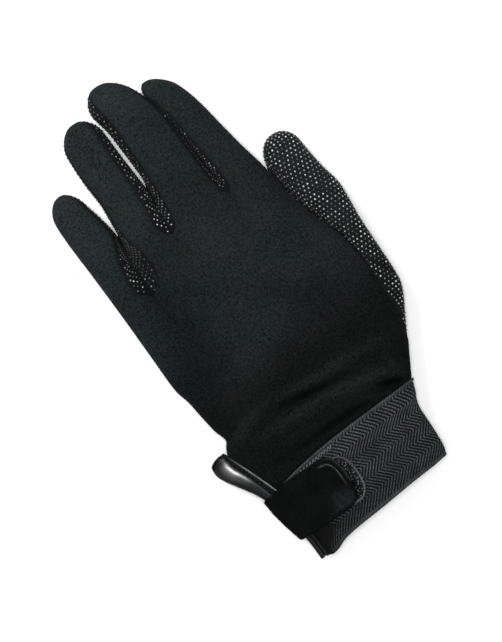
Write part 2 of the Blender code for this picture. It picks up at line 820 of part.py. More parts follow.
def sheet(name, grid, wall):
    """A cloth sheet on a grid of points, made solid to both sides of them."""
    width = len(grid[0])
    points = [point for row in grid for point in row]
    polygons = []
    for row in range(len(grid) - 1):
        for n in range(width - 1):
            start = row * width + n
            polygons.append([start, start + 1, start + 1 + width, start + width])
    part = new_part(name, points, polygons)
    solid = part.modifiers.new("wall", "SOLIDIFY")
    solid.thickness = wall
    solid.offset = 0
    return part


def end_inset(share, depth):
    """How far a rounded end draws back at a share of its width, from depth at its corners to 0."""
    return depth * (1 - arch(share, 2.6))


TAB_TOP = wrist_line(0.05) + LAY_GAP


def build_patch():
    """Loop patch on the back of the cuff band, round at its thumb end."""
    top = TAB_TOP - (TAB_DEPTH - PATCH_DEPTH)
    grid = []
    for row in range(7):
        across = row / 6
        y = top - PATCH_DEPTH * across
        end = -HALF_CUFF + PATCH_REACH - end_inset(across, PATCH_END_ROUND)
        start = -HALF_CUFF + PATCH_REACH - PATCH_LENGTH
        line = []
        for n in range(9):
            x = mix(end, start, n / 8)
            line.append(Vector((x, y, hand_height(x, y, "back") + LAY_GAP + PATCH_WALL / 2)))
        grid.append(line)
    return sheet("loop_patch", grid, PATCH_WALL)


def facing_width(y):
    vent_top = mix(wrist_line(0), crotch_line(0, "back"), VENT_APEX)
    vent_length = vent_top - wrist_line(0) + CUFF_DEPTH
    return FACING_WIDTH * read(FACINGS, "width", (vent_top - y) / vent_length)


def tab_left(y):
    """Left end of the tab's loop, outside the facing that it folds over."""
    edge = mix(left_edge(y), outer_edge(y), VENT_SHARE)
    return edge - facing_width(y) - 4 * LAY_GAP - TAB_WALL / 2


def build_tab():
    """Tab from under the cuff, round the little-finger side and over the patch to a round end."""
    grid = []
    for row in range(8):
        across = row / 7
        y = TAB_TOP - TAB_DEPTH * across
        left, right = tab_left(y), thumb_seam(y)
        side = side_height(y)
        over = crown_height(y) + 2 * LAY_GAP + PATCH_WALL + TAB_WALL / 2
        end = -HALF_CUFF + TAB_REACH - end_inset(across, TAB_END_ROUND)
        root = -HALF_CUFF + TAB_ROOT
        start_angle = math.acos(-abs(1 - 2 * (root - left) / (right - left)) ** (TAB_ROUND / 2))
        end_angle = math.acos(-abs(1 - 2 * (end - left) / (right - left)) ** (TAB_ROUND / 2))
        line = []
        for n in range(19):
            angle = mix(2 * math.pi - start_angle, end_angle, n / 18)
            lift = rounded(math.sin(angle), TAB_ROUND)
            x = mix(left, right, (1 + rounded(math.cos(angle), TAB_ROUND)) / 2)
            if lift > 0:
                z = side + (over - side) * lift
            else:
                z = max(TAB_WALL / 2, side + (side - TAB_WALL / 2 + PRESSED_FLAT) * lift)
            line.append(Vector((x, y, z)))
        grid.append(line)
    return sheet("tab", grid, TAB_WALL)


def curve_through(points, finer):
    """Points on a smooth curve through the given ones, each span cut into finer steps."""
    line = []
    for n in range(len(points) - 1):
        before, start = points[max(n - 1, 0)], points[n]
        end, after = points[n + 1], points[min(n + 2, len(points) - 1)]
        for step in range(finer):
            t = step / finer
            line.append(0.5 * (2 * start + (end - before) * t
                               + (2 * before - 5 * start + 4 * end - after) * t * t
                               + (3 * start - before - 3 * end + after) * t ** 3))
    return line + [points[-1]]


def build_binding(skin):
    """One leather strip along the vent: up its back edge, over the top and down its palm edge."""
    apex_row = HAND_ROWS.index(VENT_APEX) + len(CUFF_ROWS)
    rooms = []
    for face, numbers in (("back", range(apex_row)), ("palm", range(apex_row - 1, -1, -1))):
        for number in numbers:
            rooms.append((face, skin.verts[face, number, 0].co.copy()))
        if face == "back":
            rooms.append(("apex", skin.verts["back", apex_row, 0].co.copy()))
    inner, outer = [], []
    for face, corner in rooms:
        start = corner + Vector((-2 * SEAM_GAP, 0, 0))
        facing = facing_width(corner.y)
        if face == "back":
            end = start + Vector((-PIPING_WIDTH, 0, -0.2 * PIPING_WIDTH))
        elif face == "apex":
            start.x -= BINDING_WALL
            end = start + Vector((-facing, 0, 0))
        else:
            rise = min(facing * 0.6, side_height(corner.y) - corner.z)
            end = start + Vector((-facing, 0, rise))
        inner.append(start)
        outer.append(end)
    inner, outer = curve_through(inner, 3), curve_through(outer, 3)

    points, polygons = [], []
    half = BINDING_WALL / 2
    for n in range(len(inner)):
        low, high = max(n - 1, 0), min(n + 1, len(inner) - 1)
        run = (inner[high] + outer[high] - inner[low] - outer[low]).normalized()
        across = (outer[n] - inner[n]).normalized()
        up = across.cross(run).normalized() * half
        soft = across * half * 0.6
        points += [inner[n] - up * 0.5, inner[n] + up * 0.5, inner[n] + soft + up,
                   outer[n] - soft + up, outer[n] + up * 0.5, outer[n] - up * 0.5,
                   outer[n] - soft - up, inner[n] + soft - up]
    for n in range(len(inner) - 1):
        for side in range(8):
            a, b = n * 8 + side, n * 8 + (side + 1) % 8
            polygons.append([a, b, b + 8, a + 8])
    last = (len(inner) - 1) * 8
    polygons.append([last + n for n in range(8)])
    polygons.append(list(range(7, -1, -1)))
    return new_part("vent_binding", points, polygons)


def material(name, colour, roughness):
    finish = bpy.data.materials.new(name)
    finish.use_nodes = True
    shader = finish.node_tree.nodes["Principled BSDF"]
    shader.inputs["Base Color"].default_value = (*colour, 1)
    shader.inputs["Roughness"].default_value = roughness
    shader.inputs["Metallic"].default_value = 0
    return finish


def seat_on_floor(objects):
    """Moves every part's mesh so that the glove's box has its bottom centre on the origin."""
    points = [vert.co for part in objects for vert in part.data.vertices]
    low = Vector([min(point[n] for point in points) for n in range(3)])
    high = Vector([max(point[n] for point in points) for n in range(3)])
    shift = Vector((-(low.x + high.x) / 2, -(low.y + high.y) / 2, 0))
    for part in objects:
        for vert in part.data.vertices:
            vert.co += shift


for old in list(bpy.data.objects):
    bpy.data.objects.remove(old, do_unlink=True)
parts = bpy.data.collections.new("riding_glove")
bpy.context.scene.collection.children.link(parts)

skin = Skin()
hand_rows, thumb_crotch_side = build_hand(skin)
build_fingers(skin, hand_rows["back"][-1], hand_rows["palm"][-1])
build_thumb(skin, thumb_crotch_side)
skin.mesh.verts.index_update()
skin.mesh.normal_update()

FINISHES = {
    "back_panel": (FABRIC_WALL, (0.012, 0.013, 0.014), 0.85),
    "palm_panel": (FABRIC_WALL, (0.020, 0.021, 0.022), 0.75),
    "fourchette_ring_little": (FABRIC_WALL, (0.020, 0.021, 0.022), 0.75),
    "fourchette_middle_ring": (FABRIC_WALL, (0.020, 0.021, 0.022), 0.75),
    "fourchette_index_middle": (FABRIC_WALL, (0.020, 0.021, 0.022), 0.75),
    "thumb": (FABRIC_WALL, (0.020, 0.021, 0.022), 0.75),
    "cuff_band": (BAND_WALL, (0.018, 0.019, 0.020), 0.60),
}
for panel, (wall, colour, roughness) in FINISHES.items():
    cut_panel(skin, panel, wall).data.materials.append(material(panel, colour, roughness))
build_patch().data.materials.append(material("loop_patch", (0.016, 0.016, 0.017), 0.9))
build_tab().data.materials.append(material("tab", (0.008, 0.008, 0.008), 0.7))
build_binding(skin).data.materials.append(material("vent_binding", (0.010, 0.010, 0.010), 0.2))
skin.mesh.free()
seat_on_floor(list(parts.objects))
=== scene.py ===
# %% [markdown]
# # A riding glove, lying on its palm
# The glove is a left-hand riding glove: a soft jersey back, grip fabric with raised dots on the palm,
# thumb and finger side walls, a wide herringbone elastic at the wrist and a wrap-over tab. The packed
# CAD model is the fixed frame. Every surface below is worked out with numpy in that frame, in metres.

# %% Load the frame
import math
import bmesh
import bpy
import numpy as np
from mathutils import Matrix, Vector
from mathutils.bvhtree import BVHTree


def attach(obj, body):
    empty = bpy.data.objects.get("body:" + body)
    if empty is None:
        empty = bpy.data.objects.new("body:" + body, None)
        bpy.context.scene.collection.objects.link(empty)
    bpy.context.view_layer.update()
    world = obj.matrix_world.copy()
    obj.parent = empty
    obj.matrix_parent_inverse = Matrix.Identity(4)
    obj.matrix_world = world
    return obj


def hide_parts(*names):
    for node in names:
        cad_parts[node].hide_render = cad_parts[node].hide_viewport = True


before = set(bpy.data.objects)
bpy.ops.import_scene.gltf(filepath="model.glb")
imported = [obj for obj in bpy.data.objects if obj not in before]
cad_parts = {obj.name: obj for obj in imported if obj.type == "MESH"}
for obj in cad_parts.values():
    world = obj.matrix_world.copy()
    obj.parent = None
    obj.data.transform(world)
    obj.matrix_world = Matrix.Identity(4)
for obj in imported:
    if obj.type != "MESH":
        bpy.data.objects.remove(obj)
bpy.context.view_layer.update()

# %% [markdown]
# ## The pattern's sizes
# A glove is cut from a paper pattern. These are its sizes, the same as the CAD source's: the widths and
# lengths first, then tables of how each edge runs. Along is a share of the palm's length above the wrist
# line (of the cuff's depth below it), and across is a share of half the hand's width.

# %% Pattern sizes
KNUCKLE_WIDTH, PALM_LENGTH, HAND_THICKNESS = 0.0936, 0.118, 0.021
WRIST_SLANT, WRIST_DROP, KNUCKLE_FADE = 0.0026, 0.0050, 0.028
CUFF_DEPTH, CUFF_WIDTH, CUFF_HEIGHT = 0.038, 0.0815, 0.014
FINGER_THICKNESS, THUMB_THICKNESS, THUMB_FADE = 0.0145, 0.016, 0.030
FABRIC_WALL, BAND_WALL, PATCH_WALL, TAB_WALL, LAY_GAP = 0.0010, 0.0018, 0.0010, 0.0020, 0.0003
PRESSED_FLAT, SIDE_SHARE, TIP_ROUND = 0.0015, 0.43, 0.5
HAND_ROUND, FINGER_ROUND, TAB_ROUND = 2.6, 2.3, 3.2
PALM_SEAM_ANGLE, VENT_SHARE = math.radians(50), 0.012
VENT_APEX, THUMB_APEX, THUMB_CROTCH, CROTCH_INSET = 0.243, 0.137, 0.625, 0.06
HALF_HAND, HALF_CUFF = KNUCKLE_WIDTH / 2, CUFF_WIDTH / 2
CUFF_LIFT = TAB_WALL + LAY_GAP
CUFF_TOP = CUFF_LIFT + CUFF_HEIGHT
TO_FRAME = np.array([-0.0095296, -0.0734386, 0.0])

# %% Pattern tables: columns are along, then the values
LEFT_EDGE = np.array([
    (-1.20, -0.745), (-0.90, -0.760), (-0.55, -0.792), (-0.21, -0.800), (0.00, -0.815),
    (0.055, -0.850), (0.105, -0.905), (0.150, -0.940), (0.178, -0.890), (0.205, -0.835),
    (0.260, -0.872), (0.347, -0.905), (0.410, -0.925), (0.475, -0.966), (0.640, -0.978),
    (0.820, -0.988), (1.000, -1.004)])
THUMB_SEAM = np.array([
    (-1.02, 0.990), (-0.93, 1.026), (-0.80, 1.044), (-0.36, 1.054), (-0.26, 1.062),
    (-0.158, 1.078), (0.00, 1.083), (0.075, 1.155), (0.144, 1.232), (0.220, 1.270),
    (0.347, 1.282), (0.475, 1.282), (0.600, 1.252), (0.657, 1.203), (0.754, 1.113),
    (0.880, 1.043), (1.000, 0.996), (1.060, 0.966)])
OUTER_EDGE = np.array([
    (0.144, 1.232), (0.220, 1.331), (0.300, 1.440), (0.347, 1.479), (0.475, 1.491),
    (0.600, 1.494), (0.657, 1.500), (0.754, 1.515)])
HAND_CROWN = np.array([(0.00, 0.80), (0.15, 0.88), (0.35, 0.98), (0.55, 1.00), (0.75, 0.97), (1.00, 0.90)])

# Crotches between fingers: across the wrist, then the back's and the palm's height over the knuckles
CROTCHES = np.array([
    (0.00, -0.05, -0.05), (0.23, -0.17, 0.09), (0.48, -0.01, 0.186), (0.75, 0.00, 0.16), (1.00, 0.05, 0.05)])

# Finger sections: along, left, right, left show, right show, height
FINGER_TABLES = {
    "little": np.array([
        (-0.48, -0.481, 0.432, 0, 0.27, 1.15), (-0.24, -0.503, 0.476, 0, 0.33, 1.15),
        (0.00, -0.514, 0.503, 0, 0.28, 1.12), (0.20, -0.535, 0.514, 0, 0.12, 1.06),
        (0.33, -0.556, 0.550, 0, 0.08, 1.03), (0.545, -0.575, 0.478, 0, 0.07, 1.00),
        (0.76, -0.565, 0.362, 0, 0.06, 0.97), (1.00, -0.476, 0.270, 0, 0.05, 0.93)]),
    "ring": np.array([
        (-0.30, -0.623, 0.488, 0.25, 0.05, 1.15), (-0.15, -0.585, 0.488, 0.31, 0.05, 1.14),
        (0.00, -0.560, 0.488, 0.25, 0.20, 1.12), (0.10, -0.545, 0.500, 0.13, 0.27, 1.08),
        (0.21, -0.530, 0.555, 0.07, 0.28, 1.03), (0.42, -0.492, 0.537, 0.05, 0.22, 1.00),
        (0.61, -0.525, 0.500, 0.05, 0.19, 0.97), (0.82, -0.515, 0.478, 0.05, 0.15, 0.95),
        (1.00, -0.437, 0.458, 0.05, 0.13, 0.92)]),
    "middle": np.array([
        (-0.02, -0.592, 0.616, 0.10, 0.08, 1.13), (0.07, -0.565, 0.580, 0.10, 0.07, 1.10),
        (0.19, -0.560, 0.556, 0.13, 0.07, 1.05), (0.376, -0.537, 0.541, 0.125, 0.08, 1.00),
        (0.577, -0.558, 0.506, 0.145, 0.06, 0.97), (0.725, -0.585, 0.425, 0.17, 0.05, 0.95),
        (0.85, -0.665, 0.285, 0.20, 0.04, 0.93), (1.00, -0.726, 0.145, 0.20, 0.03, 0.90)]),
    "index": np.array([
        (-0.02, -0.497, 0.578, 0.12, 0, 1.12), (0.06, -0.560, 0.530, 0.15, 0, 1.10),
        (0.22, -0.622, 0.412, 0.17, 0, 1.05), (0.44, -0.662, 0.275, 0.11, 0, 1.00),
        (0.67, -0.735, 0.135, 0.08, 0, 0.97), (0.84, -0.880, -0.045, 0.07, 0, 0.94),
        (1.00, -1.050, -0.350, 0.06, 0, 0.90)]),
    "thumb": np.array([
        (0.00, -0.190, 0.523, 0, 0, 1.00), (0.126, -0.256, 0.554, 0, 0, 1.02),
        (0.32, -0.410, 0.575, 0, 0, 1.02), (0.51, -0.500, 0.472, 0, 0, 1.00),
        (0.71, -0.600, 0.405, 0, 0, 0.97), (1.00, -0.575, 0.355, 0, 0, 0.90)]),
}
LEFT, RIGHT, LEFT_SHOW, RIGHT_SHOW, HEIGHT = 1, 2, 3, 4, 5

# Soft folds above the cuff: across, along, length, width, turn in degrees, lift
FOLDS = [
    (0.02, 0.128, 0.50, 0.062, -3, 0.066), (0.62, 0.088, 0.28, 0.056, -16, 0.066),
    (0.06, 0.186, 0.38, 0.045, -10, -0.055), (0.25, 0.212, 0.75, 0.066, -3, 0.050),
    (0.30, 0.022, 0.75, 0.046, 0, -0.050), (0.96, 0.072, 0.15, 0.032, 100, 0.055),
    (0.85, 0.076, 0.17, 0.034, -43, 0.060), (0.77, 0.051, 0.20, 0.030, -24, -0.060),
    (0.64, 0.021, 0.16, 0.030, -18, 0.050), (-0.60, 0.206, 0.19, 0.055, 20, 0.058),
    (-0.10, 0.42, 0.60, 0.20, 30, 0.022), (0.50, 0.55, 0.50, 0.16, -35, -0.016),
    (-0.60, 0.62, 0.75, 0.30, 75, -0.022)]

# %% [markdown]
# ## Reading the pattern
# A dressmaker joins the marks of a pattern with a flexible ruler. `read` does that for a whole array of
# places at once: a cubic between each pair of rows, whose slope at a row is that of its two neighbours.

# %% Curves through the tables
def mix(low, high, share):
    """Straight from low to high, at a share of the way."""
    return low + (high - low) * share


def smooth(low, high, value):
    """3s^2 - 2s^3 of the share s of the way from low to high: it rises from 0 to 1 with level ends."""
    share = np.clip((value - low) / (high - low), 0, 1)
    return share * share * (3 - 2 * share)


def read(table, column, at):
    """Cubic Hermite curve through one column of a table, with neighbour-to-neighbour slopes."""
    places, values = table[:, 0], table[:, column]
    after = np.minimum(np.arange(len(places)) + 1, len(places) - 1)
    before = np.maximum(np.arange(len(places)) - 1, 0)
    slopes = (values[after] - values[before]) / (places[after] - places[before])
    at = np.clip(at, places[0], places[-1])
    low = np.clip(np.searchsorted(places, at, side="right") - 1, 0, len(places) - 2)
    span = places[low + 1] - places[low]
    t = (at - places[low]) / span
    ends = (1 + 2 * t) * (1 - t) ** 2 * values[low] + t * t * (3 - 2 * t) * values[low + 1]
    bend = t * (1 - t) ** 2 * slopes[low] - t * t * (1 - t) * slopes[low + 1]
    return ends + bend * span


def arch(share, roundness):
    """(1 - |2s - 1|^r)^(1/r): 0 at both feet, 1 on top, squarer as r grows."""
    return np.maximum(0, 1 - np.abs(2 * share - 1) ** roundness) ** (1 / roundness)


def rounded(value, roundness):
    """sign(v) |v|^(2/r): the cosine or sine of an angle, bent into a rounder or squarer oval."""
    return np.copysign(np.abs(value) ** (2 / roundness), value)

# %% [markdown]
# ## The hand's outline and height
# Seen from above the empty glove is a flat bag, so its height is an arch between its left and right
# edges. The thumb side closes on itself above the thumb's crotch, and the arch there splits in two.

# %% Outline and height of the hand
def station(y):
    """Share of the palm's length above the wrist line, or of the cuff's depth below it."""
    return np.where(y >= 0, y / PALM_LENGTH, y / CUFF_DEPTH)


def half_width(y):
    """Half the width: the cuff's at the wrist, smoothly out to the knuckles'."""
    return mix(HALF_CUFF, HALF_HAND, smooth(-0.35, 0.25, station(y)))


def left_edge(y):
    """The little-finger side: its table's share of half the width."""
    return read(LEFT_EDGE, 1, station(y)) * half_width(y)


def thumb_seam(y):
    """The seam where the thumb's fabric begins: its table's share of half the width."""
    return read(THUMB_SEAM, 1, station(y)) * half_width(y)


def outer_edge(y):
    """The thumb side's outline: the seam low down, then whichever of seam and table is further out."""
    outer = np.maximum(thumb_seam(y), read(OUTER_EDGE, 1, station(y)) * half_width(y))
    return np.where(station(y) <= OUTER_EDGE[0, 0], thumb_seam(y), outer)


def floor_height(y):
    """How far the underside lies above the table: the tab's lift at the wrist, then down to nothing."""
    return CUFF_LIFT * (1 - smooth(0, 0.25, station(y)))


def crown_height(y):
    """Top of the arch: the cuff's flat top, mixed into the hand's own crown above the wrist."""
    hand = HAND_THICKNESS * read(HAND_CROWN, 1, station(y))
    return mix(CUFF_TOP, hand, smooth(-0.30, 0.20, station(y)))


def side_height(y):
    """Height of the side seams: a fixed share of the way from the underside to the crown."""
    return mix(floor_height(y), crown_height(y), SIDE_SHARE)


def loop_height(x, left, right, side, far, floor, roundness):
    """Side height plus an arch up to far, or minus an arch that the surface below presses flat."""
    bow = arch(np.clip((x - left) / np.maximum(right - left, 1e-6), 0, 1), roundness)
    above = side + (far - side) * bow
    below = np.maximum(floor, side - (side - far + PRESSED_FLAT) * bow)
    return np.where(far > side, above, below)


def wrist_line(across):
    """The slanting wrist seam: a straight slope, and a fourth power that drops its left corner."""
    return -WRIST_SLANT * (1 - across) - WRIST_DROP * (1 - across) ** 4


def crotch_line(number, face):
    """How far up the hand a crotch is, on the back or on the palm."""
    return PALM_LENGTH * (1 + CROTCHES[number, 1 if face == "back" else 2])


THUMB_CROTCH_Y = mix(wrist_line(1), crotch_line(4, "back"), THUMB_CROTCH)


def fold_height(x, y):
    """Sum of long Gaussian ridges, each turned to its own direction, faded out at the wrist line."""
    height = np.zeros(np.broadcast(x, y).shape)
    for across, along, length, width, turn, lift in FOLDS:
        c, s = math.cos(math.radians(turn)), math.sin(math.radians(turn))
        dx, dy = x - across * HALF_HAND, y - along * PALM_LENGTH
        run = (dx * c + dy * s) / (length * HALF_HAND)
        side = (dy * c - dx * s) / (width * HALF_HAND)
        height = height + lift * HAND_THICKNESS * np.exp(-run * run - side * side)
    return height * smooth(-0.02, 0.04, station(y))


def hand_height(x, y, face):
    """One arch over hand and thumb side, mixed into two separate ones towards the thumb's crotch."""
    side, floor = side_height(y), floor_height(y)
    far = crown_height(y) if face == "back" else floor
    thumb_far = THUMB_THICKNESS if face == "back" else floor
    left, seam, outer = left_edge(y), thumb_seam(y), outer_edge(y)
    alone = smooth(THUMB_CROTCH_Y - THUMB_FADE, THUMB_CROTCH_Y, y)
    joined = loop_height(x, left, outer, side, far, floor, HAND_ROUND)
    hand_side = loop_height(x, left, seam, side, far, floor, HAND_ROUND)
    thumb_side = loop_height(x, seam, outer, side, thumb_far, floor, FINGER_ROUND)
    height = mix(joined, np.where(x <= seam + 1e-6, hand_side, thumb_side), alone)
    return height + fold_height(x, y) if face == "back" else height

# %% [markdown]
# ## Fingers
# A finger is a tube: ovals strung on a table of left and right edges, with a rounded end. A point on it
# is named by how far up it is, t (0 at the crotch, 1 where the tip starts to round, 2 at the very end),
# and by its angle round the oval.

# %% One finger as a surface
class Finger:
    """A tube of ovals. Edges, heights and shown side walls come from its table, by share of its length."""

    def __init__(self, name, line, width, length, base, thickness):
        self.name, self.width, self.length, self.base = name, width, length, base
        self.line, self.thickness, self.table = line * HALF_HAND, thickness, FINGER_TABLES[name]
        self.tip_round = TIP_ROUND * width
        self.tip_start = base + length - self.tip_round

    def column(self, column, y):
        """One column of the finger's table at y."""
        return read(self.table, column, (y - self.base) / self.length)

    def tip_scale(self, y):
        """(1 - s^2)^0.45 over the rounded end: the oval shrinks to a point at the fingertip."""
        share = np.clip((y - self.tip_start) / self.tip_round, 0, 1)
        return (1 - share * share) ** 0.45

    def outline(self, y):
        """Left and right edge at y: the table's, drawn in to the middle over the rounded end."""
        left = self.line + self.column(LEFT, y) * self.width
        right = self.line + self.column(RIGHT, y) * self.width
        half = (right - left) / 2 * self.tip_scale(y)
        return (left + right) / 2 - half, (left + right) / 2 + half

    def side(self, y):
        """Height of the side seams, the same share of the thickness as on the hand."""
        return SIDE_SHARE * self.thickness * self.column(HEIGHT, y)

    def height(self, share, y, face):
        """Arch over the back, or the oval's pressed underside, at a share of the way across."""
        far = self.thickness * self.column(HEIGHT, y) if face == "back" else np.zeros_like(y)
        return loop_height(share, 0, 1, self.side(y), far, 0.0, FINGER_ROUND)

    def point(self, y, angle):
        """Oval at y: half its width times the bent cosine, and its height times the bent sine."""
        left, right = self.outline(y)
        side, scale = self.side(y), self.tip_scale(y) ** 0.9
        top = (self.thickness * self.column(HEIGHT, y) - side) * scale
        bottom = (side + PRESSED_FLAT) * scale
        x = (left + right) / 2 + (right - left) / 2 * rounded(np.cos(angle), FINGER_ROUND)
        lift = rounded(np.sin(angle), FINGER_ROUND)
        z = side + np.where(lift > 0, top, bottom) * lift
        return np.stack(np.broadcast_arrays(x, y, np.maximum(z, 0.0)), -1)

    def seam_angle(self, y, hand_side):
        """Angle whose cosine leaves just the shown part of the side wall outside the back's seam."""
        left, right = self.outline(y)
        show = self.column(RIGHT_SHOW if hand_side == "right" else LEFT_SHOW, y) * self.width
        share = np.maximum(0, 1 - 2 * show * self.tip_scale(y) / np.maximum(right - left, 1e-6))
        return np.arccos(share ** (FINGER_ROUND / 2))

    def step_y(self, base, t):
        """Straight up to the tip while t < 1, then round it by the sine of (t - 1) times 90 degrees."""
        turn = np.sin(np.clip(t - 1, 0, 1) * math.pi / 2)
        return mix(base, self.tip_start, np.clip(t, 0, 1)) + self.tip_round * turn


FINGERS = [Finger("little", -0.801, 0.0185, 0.0422, PALM_LENGTH, FINGER_THICKNESS),
           Finger("ring", -0.331, 0.0215, 0.0661, PALM_LENGTH, FINGER_THICKNESS),
           Finger("middle", 0.224, 0.0255, 0.0745, PALM_LENGTH, FINGER_THICKNESS),
           Finger("index", 0.769, 0.0185, 0.0638, PALM_LENGTH, FINGER_THICKNESS)]
THUMB = Finger("thumb", 1.282, 0.0195, 0.0517, THUMB_CROTCH_Y, THUMB_THICKNESS)

# %% [markdown]
# ## The back and the palm of the hand
# Back and palm are two sheets over the same four strips, one strip for each finger. A place on them is a
# row share (0 at the wrist, 1 at the crotches) and a share across its strip. Near the crotches each strip
# turns into the root of its finger, so valleys form between them as they do in the sewn glove.

# %% Hand sheets
def crotch_x(number, face):
    """Half way between the back's seams of the two fingers that part there."""
    y = np.array(crotch_line(number, face))
    if number == 0:
        return left_edge(y)
    if number == 4:
        return thumb_seam(y)
    before, after = FINGERS[number - 1], FINGERS[number]
    right = before.outline(y)[1] - before.column(RIGHT_SHOW, y) * before.width
    left = after.outline(y)[0] + after.column(LEFT_SHOW, y) * after.width
    return (left + right) / 2


def border_y(number, row, face):
    """Straight from the wrist line up to the crotch, at a row's share of the way."""
    return mix(wrist_line(CROTCHES[number, 0]), crotch_line(number, face), row)


def border_x(number, row, face):
    """The hand's own edge, or for an inner border a straight line from the wrist to its crotch."""
    y = border_y(number, row, face)
    if number == 0:
        opened = VENT_SHARE * smooth(VENT_APEX, VENT_APEX - 0.05, row)
        return mix(left_edge(y), outer_edge(y), opened)
    if number == 4:
        return thumb_seam(y)
    wrist_y = wrist_line(CROTCHES[number, 0])
    low = mix(left_edge(wrist_y), thumb_seam(wrist_y), CROTCHES[number, 0])
    return mix(low, crotch_x(number, face), row)


def strip_height(x, y, top, strip, share, face):
    """The hand's height, mixed into the finger's own oval over the last stretch below the crotch."""
    left = 0 if strip == 0 else CROTCH_INSET
    right = 1 if strip == 3 else 1 - CROTCH_INSET
    finger = FINGERS[strip].height(mix(left, right, share), y, face)
    return mix(hand_height(x, y, face), finger, smooth(top - KNUCKLE_FADE, top, y))


def border_height(number, row, face):
    """Mean of the two strips that meet there. Closed side seams take the back's height."""
    x, y, top = border_x(number, row, face), border_y(number, row, face), crotch_line(number, face)
    sides = [(number - 1, 1.0), (number, 0.0)]
    heights = [strip_height(x, y, top, strip, np.full_like(y, share), face)
               for strip, share in sides if 0 <= strip <= 3]
    height = sum(heights) / len(heights)
    if face == "palm" and number == 0:
        height = np.where(row >= VENT_APEX - 1e-9, border_height(0, row, "back"), height)
    if face == "palm" and number == 4:
        parted = (row > THUMB_APEX + 1e-9) & (row < THUMB_CROTCH - 1e-9)
        height = np.where(parted, height, border_height(4, row, "back"))
    return height


def hand_sheet(strip, row, share, face):
    """Straight between the strip's two borders in plan; in height, the arch fitted to both borders."""
    low, high = strip, strip + 1
    y = mix(border_y(low, row, face), border_y(high, row, face), share)
    x = mix(border_x(low, row, face), border_x(high, row, face), share)
    top = mix(crotch_line(low, face), crotch_line(high, face), share)
    height = strip_height(x, y, top, strip, share, face)
    for number, end, near in ((low, 0.0, 1 - smooth(0, 0.3, share)), (high, 1.0, smooth(0.7, 1, share))):
        bx, by = border_x(number, row, face), border_y(number, row, face)
        own = strip_height(bx, by, crotch_line(number, face), strip, np.full_like(by, end), face)
        height = height + (border_height(number, row, face) - own) * near
    return np.stack(np.broadcast_arrays(x, y, height), -1)


ROWS = np.concatenate([np.linspace(0, THUMB_APEX, 16), np.linspace(THUMB_APEX, VENT_APEX, 13)[1:],
                       np.linspace(VENT_APEX, THUMB_CROTCH, 42)[1:], np.linspace(THUMB_CROTCH, 1, 42)[1:]])
STRIP_CELLS = 24
EVEN = np.linspace(0, 1, STRIP_CELLS + 1)
STRIP_SHARES = [1 - np.cos(EVEN * math.pi / 2), EVEN, EVEN, np.sin(EVEN * math.pi / 2)]
grids = {}
for face in ("back", "palm"):
    strips = [hand_sheet(n, ROWS[:, None], STRIP_SHARES[n][None, :], face) for n in range(4)]
    grids[face + "_hand"] = np.concatenate([strips[0]] + [strip[:, 1:] for strip in strips[1:]], axis=1)
print("hand sheets", {name: grid.shape for name, grid in grids.items()})

# %% [markdown]
# ## The fingers' four sides
# Each finger is sewn from a back, a palm side and two side walls, which glovers call fourchettes. All four
# lie on the same tube, between seams that run up it. Low down, each is pulled over to the edge that it
# grows out of, so the sheets meet without a step. One fourchette goes down one finger, round the web at
# the crotch and up the next.

# %% Seams up a finger and the tube between them
# The side walls taper out round the tip, by degrees of its turn, and the palm's seams open out of the crotch
SEAM_TAPER_TURN, SEAM_TAPER = [0, 26, 49, 67], [1, 0.92, 0.75, 0]
PALM_SEAM_PLACE, PALM_SEAM_START = [0, 0.11, 0.22, 0.36, 0.51], [0, 0.35, 0.6, 0.85, 1]
WALL_TURN = SEAM_TAPER_TURN[-1] / 90
ROOT_FADE, EDGE_FADE = 0.22, 0.15
# How far over a side wall its round end reaches, and how quickly that fades
ROUND_END, ROUND_END_POWER = 0.6, 1.5


def seam(number, side, face, t):
    """Y of a seam at t, and its angle: the back's from how much wall shows, the palm's opening slowly."""
    finger, crotch = FINGERS[number], number if side == "left" else number + 1
    y = finger.step_y(crotch_line(crotch, face), t)
    taper = np.interp((t - 1) * 90, SEAM_TAPER_TURN, SEAM_TAPER)
    if crotch in (0, 4):
        angle = np.zeros_like(y)
    elif face == "back":
        angle = finger.seam_angle(y, side) * taper
    else:
        angle = -PALM_SEAM_ANGLE * np.interp(t, PALM_SEAM_PLACE, PALM_SEAM_START) * taper
    return y, angle if side == "right" else math.pi - angle


def tube_sheet(number, t, share, start, end, root, beside_seam=0.0):
    """Tube between two seams, plus the step from its own root to the real one, fading as t grows.

    Beside the back's seams it fades along a quarter circle, so the side wall ends in a round U."""
    y = mix(start[0], end[0], share)
    angle = mix(start[1], end[1], share)
    tube = FINGERS[number].point(y, angle)
    soft = 1 - smooth(0, ROOT_FADE, t)
    quick = 1 - np.sqrt(1 - (1 - np.clip(t / EDGE_FADE, 0, 1)) ** 2)
    fade = mix(soft, quick, beside_seam)
    return tube + (root - tube[:1]) * fade[..., None]


def web(number, share):
    """Mean of the two fingers' facing sides, moved so that its ends sit on the two crotch points."""
    before, after = FINGERS[number - 1], FINGERS[number]
    one = np.array([1.0])
    top = grids["back_hand"][-1, number * STRIP_CELLS]
    bottom = grids["palm_hand"][-1, number * STRIP_CELLS]
    y = mix(top[1], bottom[1], share)
    rise = before.seam_angle(top[1] * one, "right")
    angle = mix(rise, -PALM_SEAM_ANGLE * PALM_SEAM_START[1], share)
    line = (before.point(y, angle) + after.point(y, math.pi - angle)) / 2
    share = share[:, None]
    return line + (top - line[0]) * (1 - share) + (bottom - line[-1]) * share


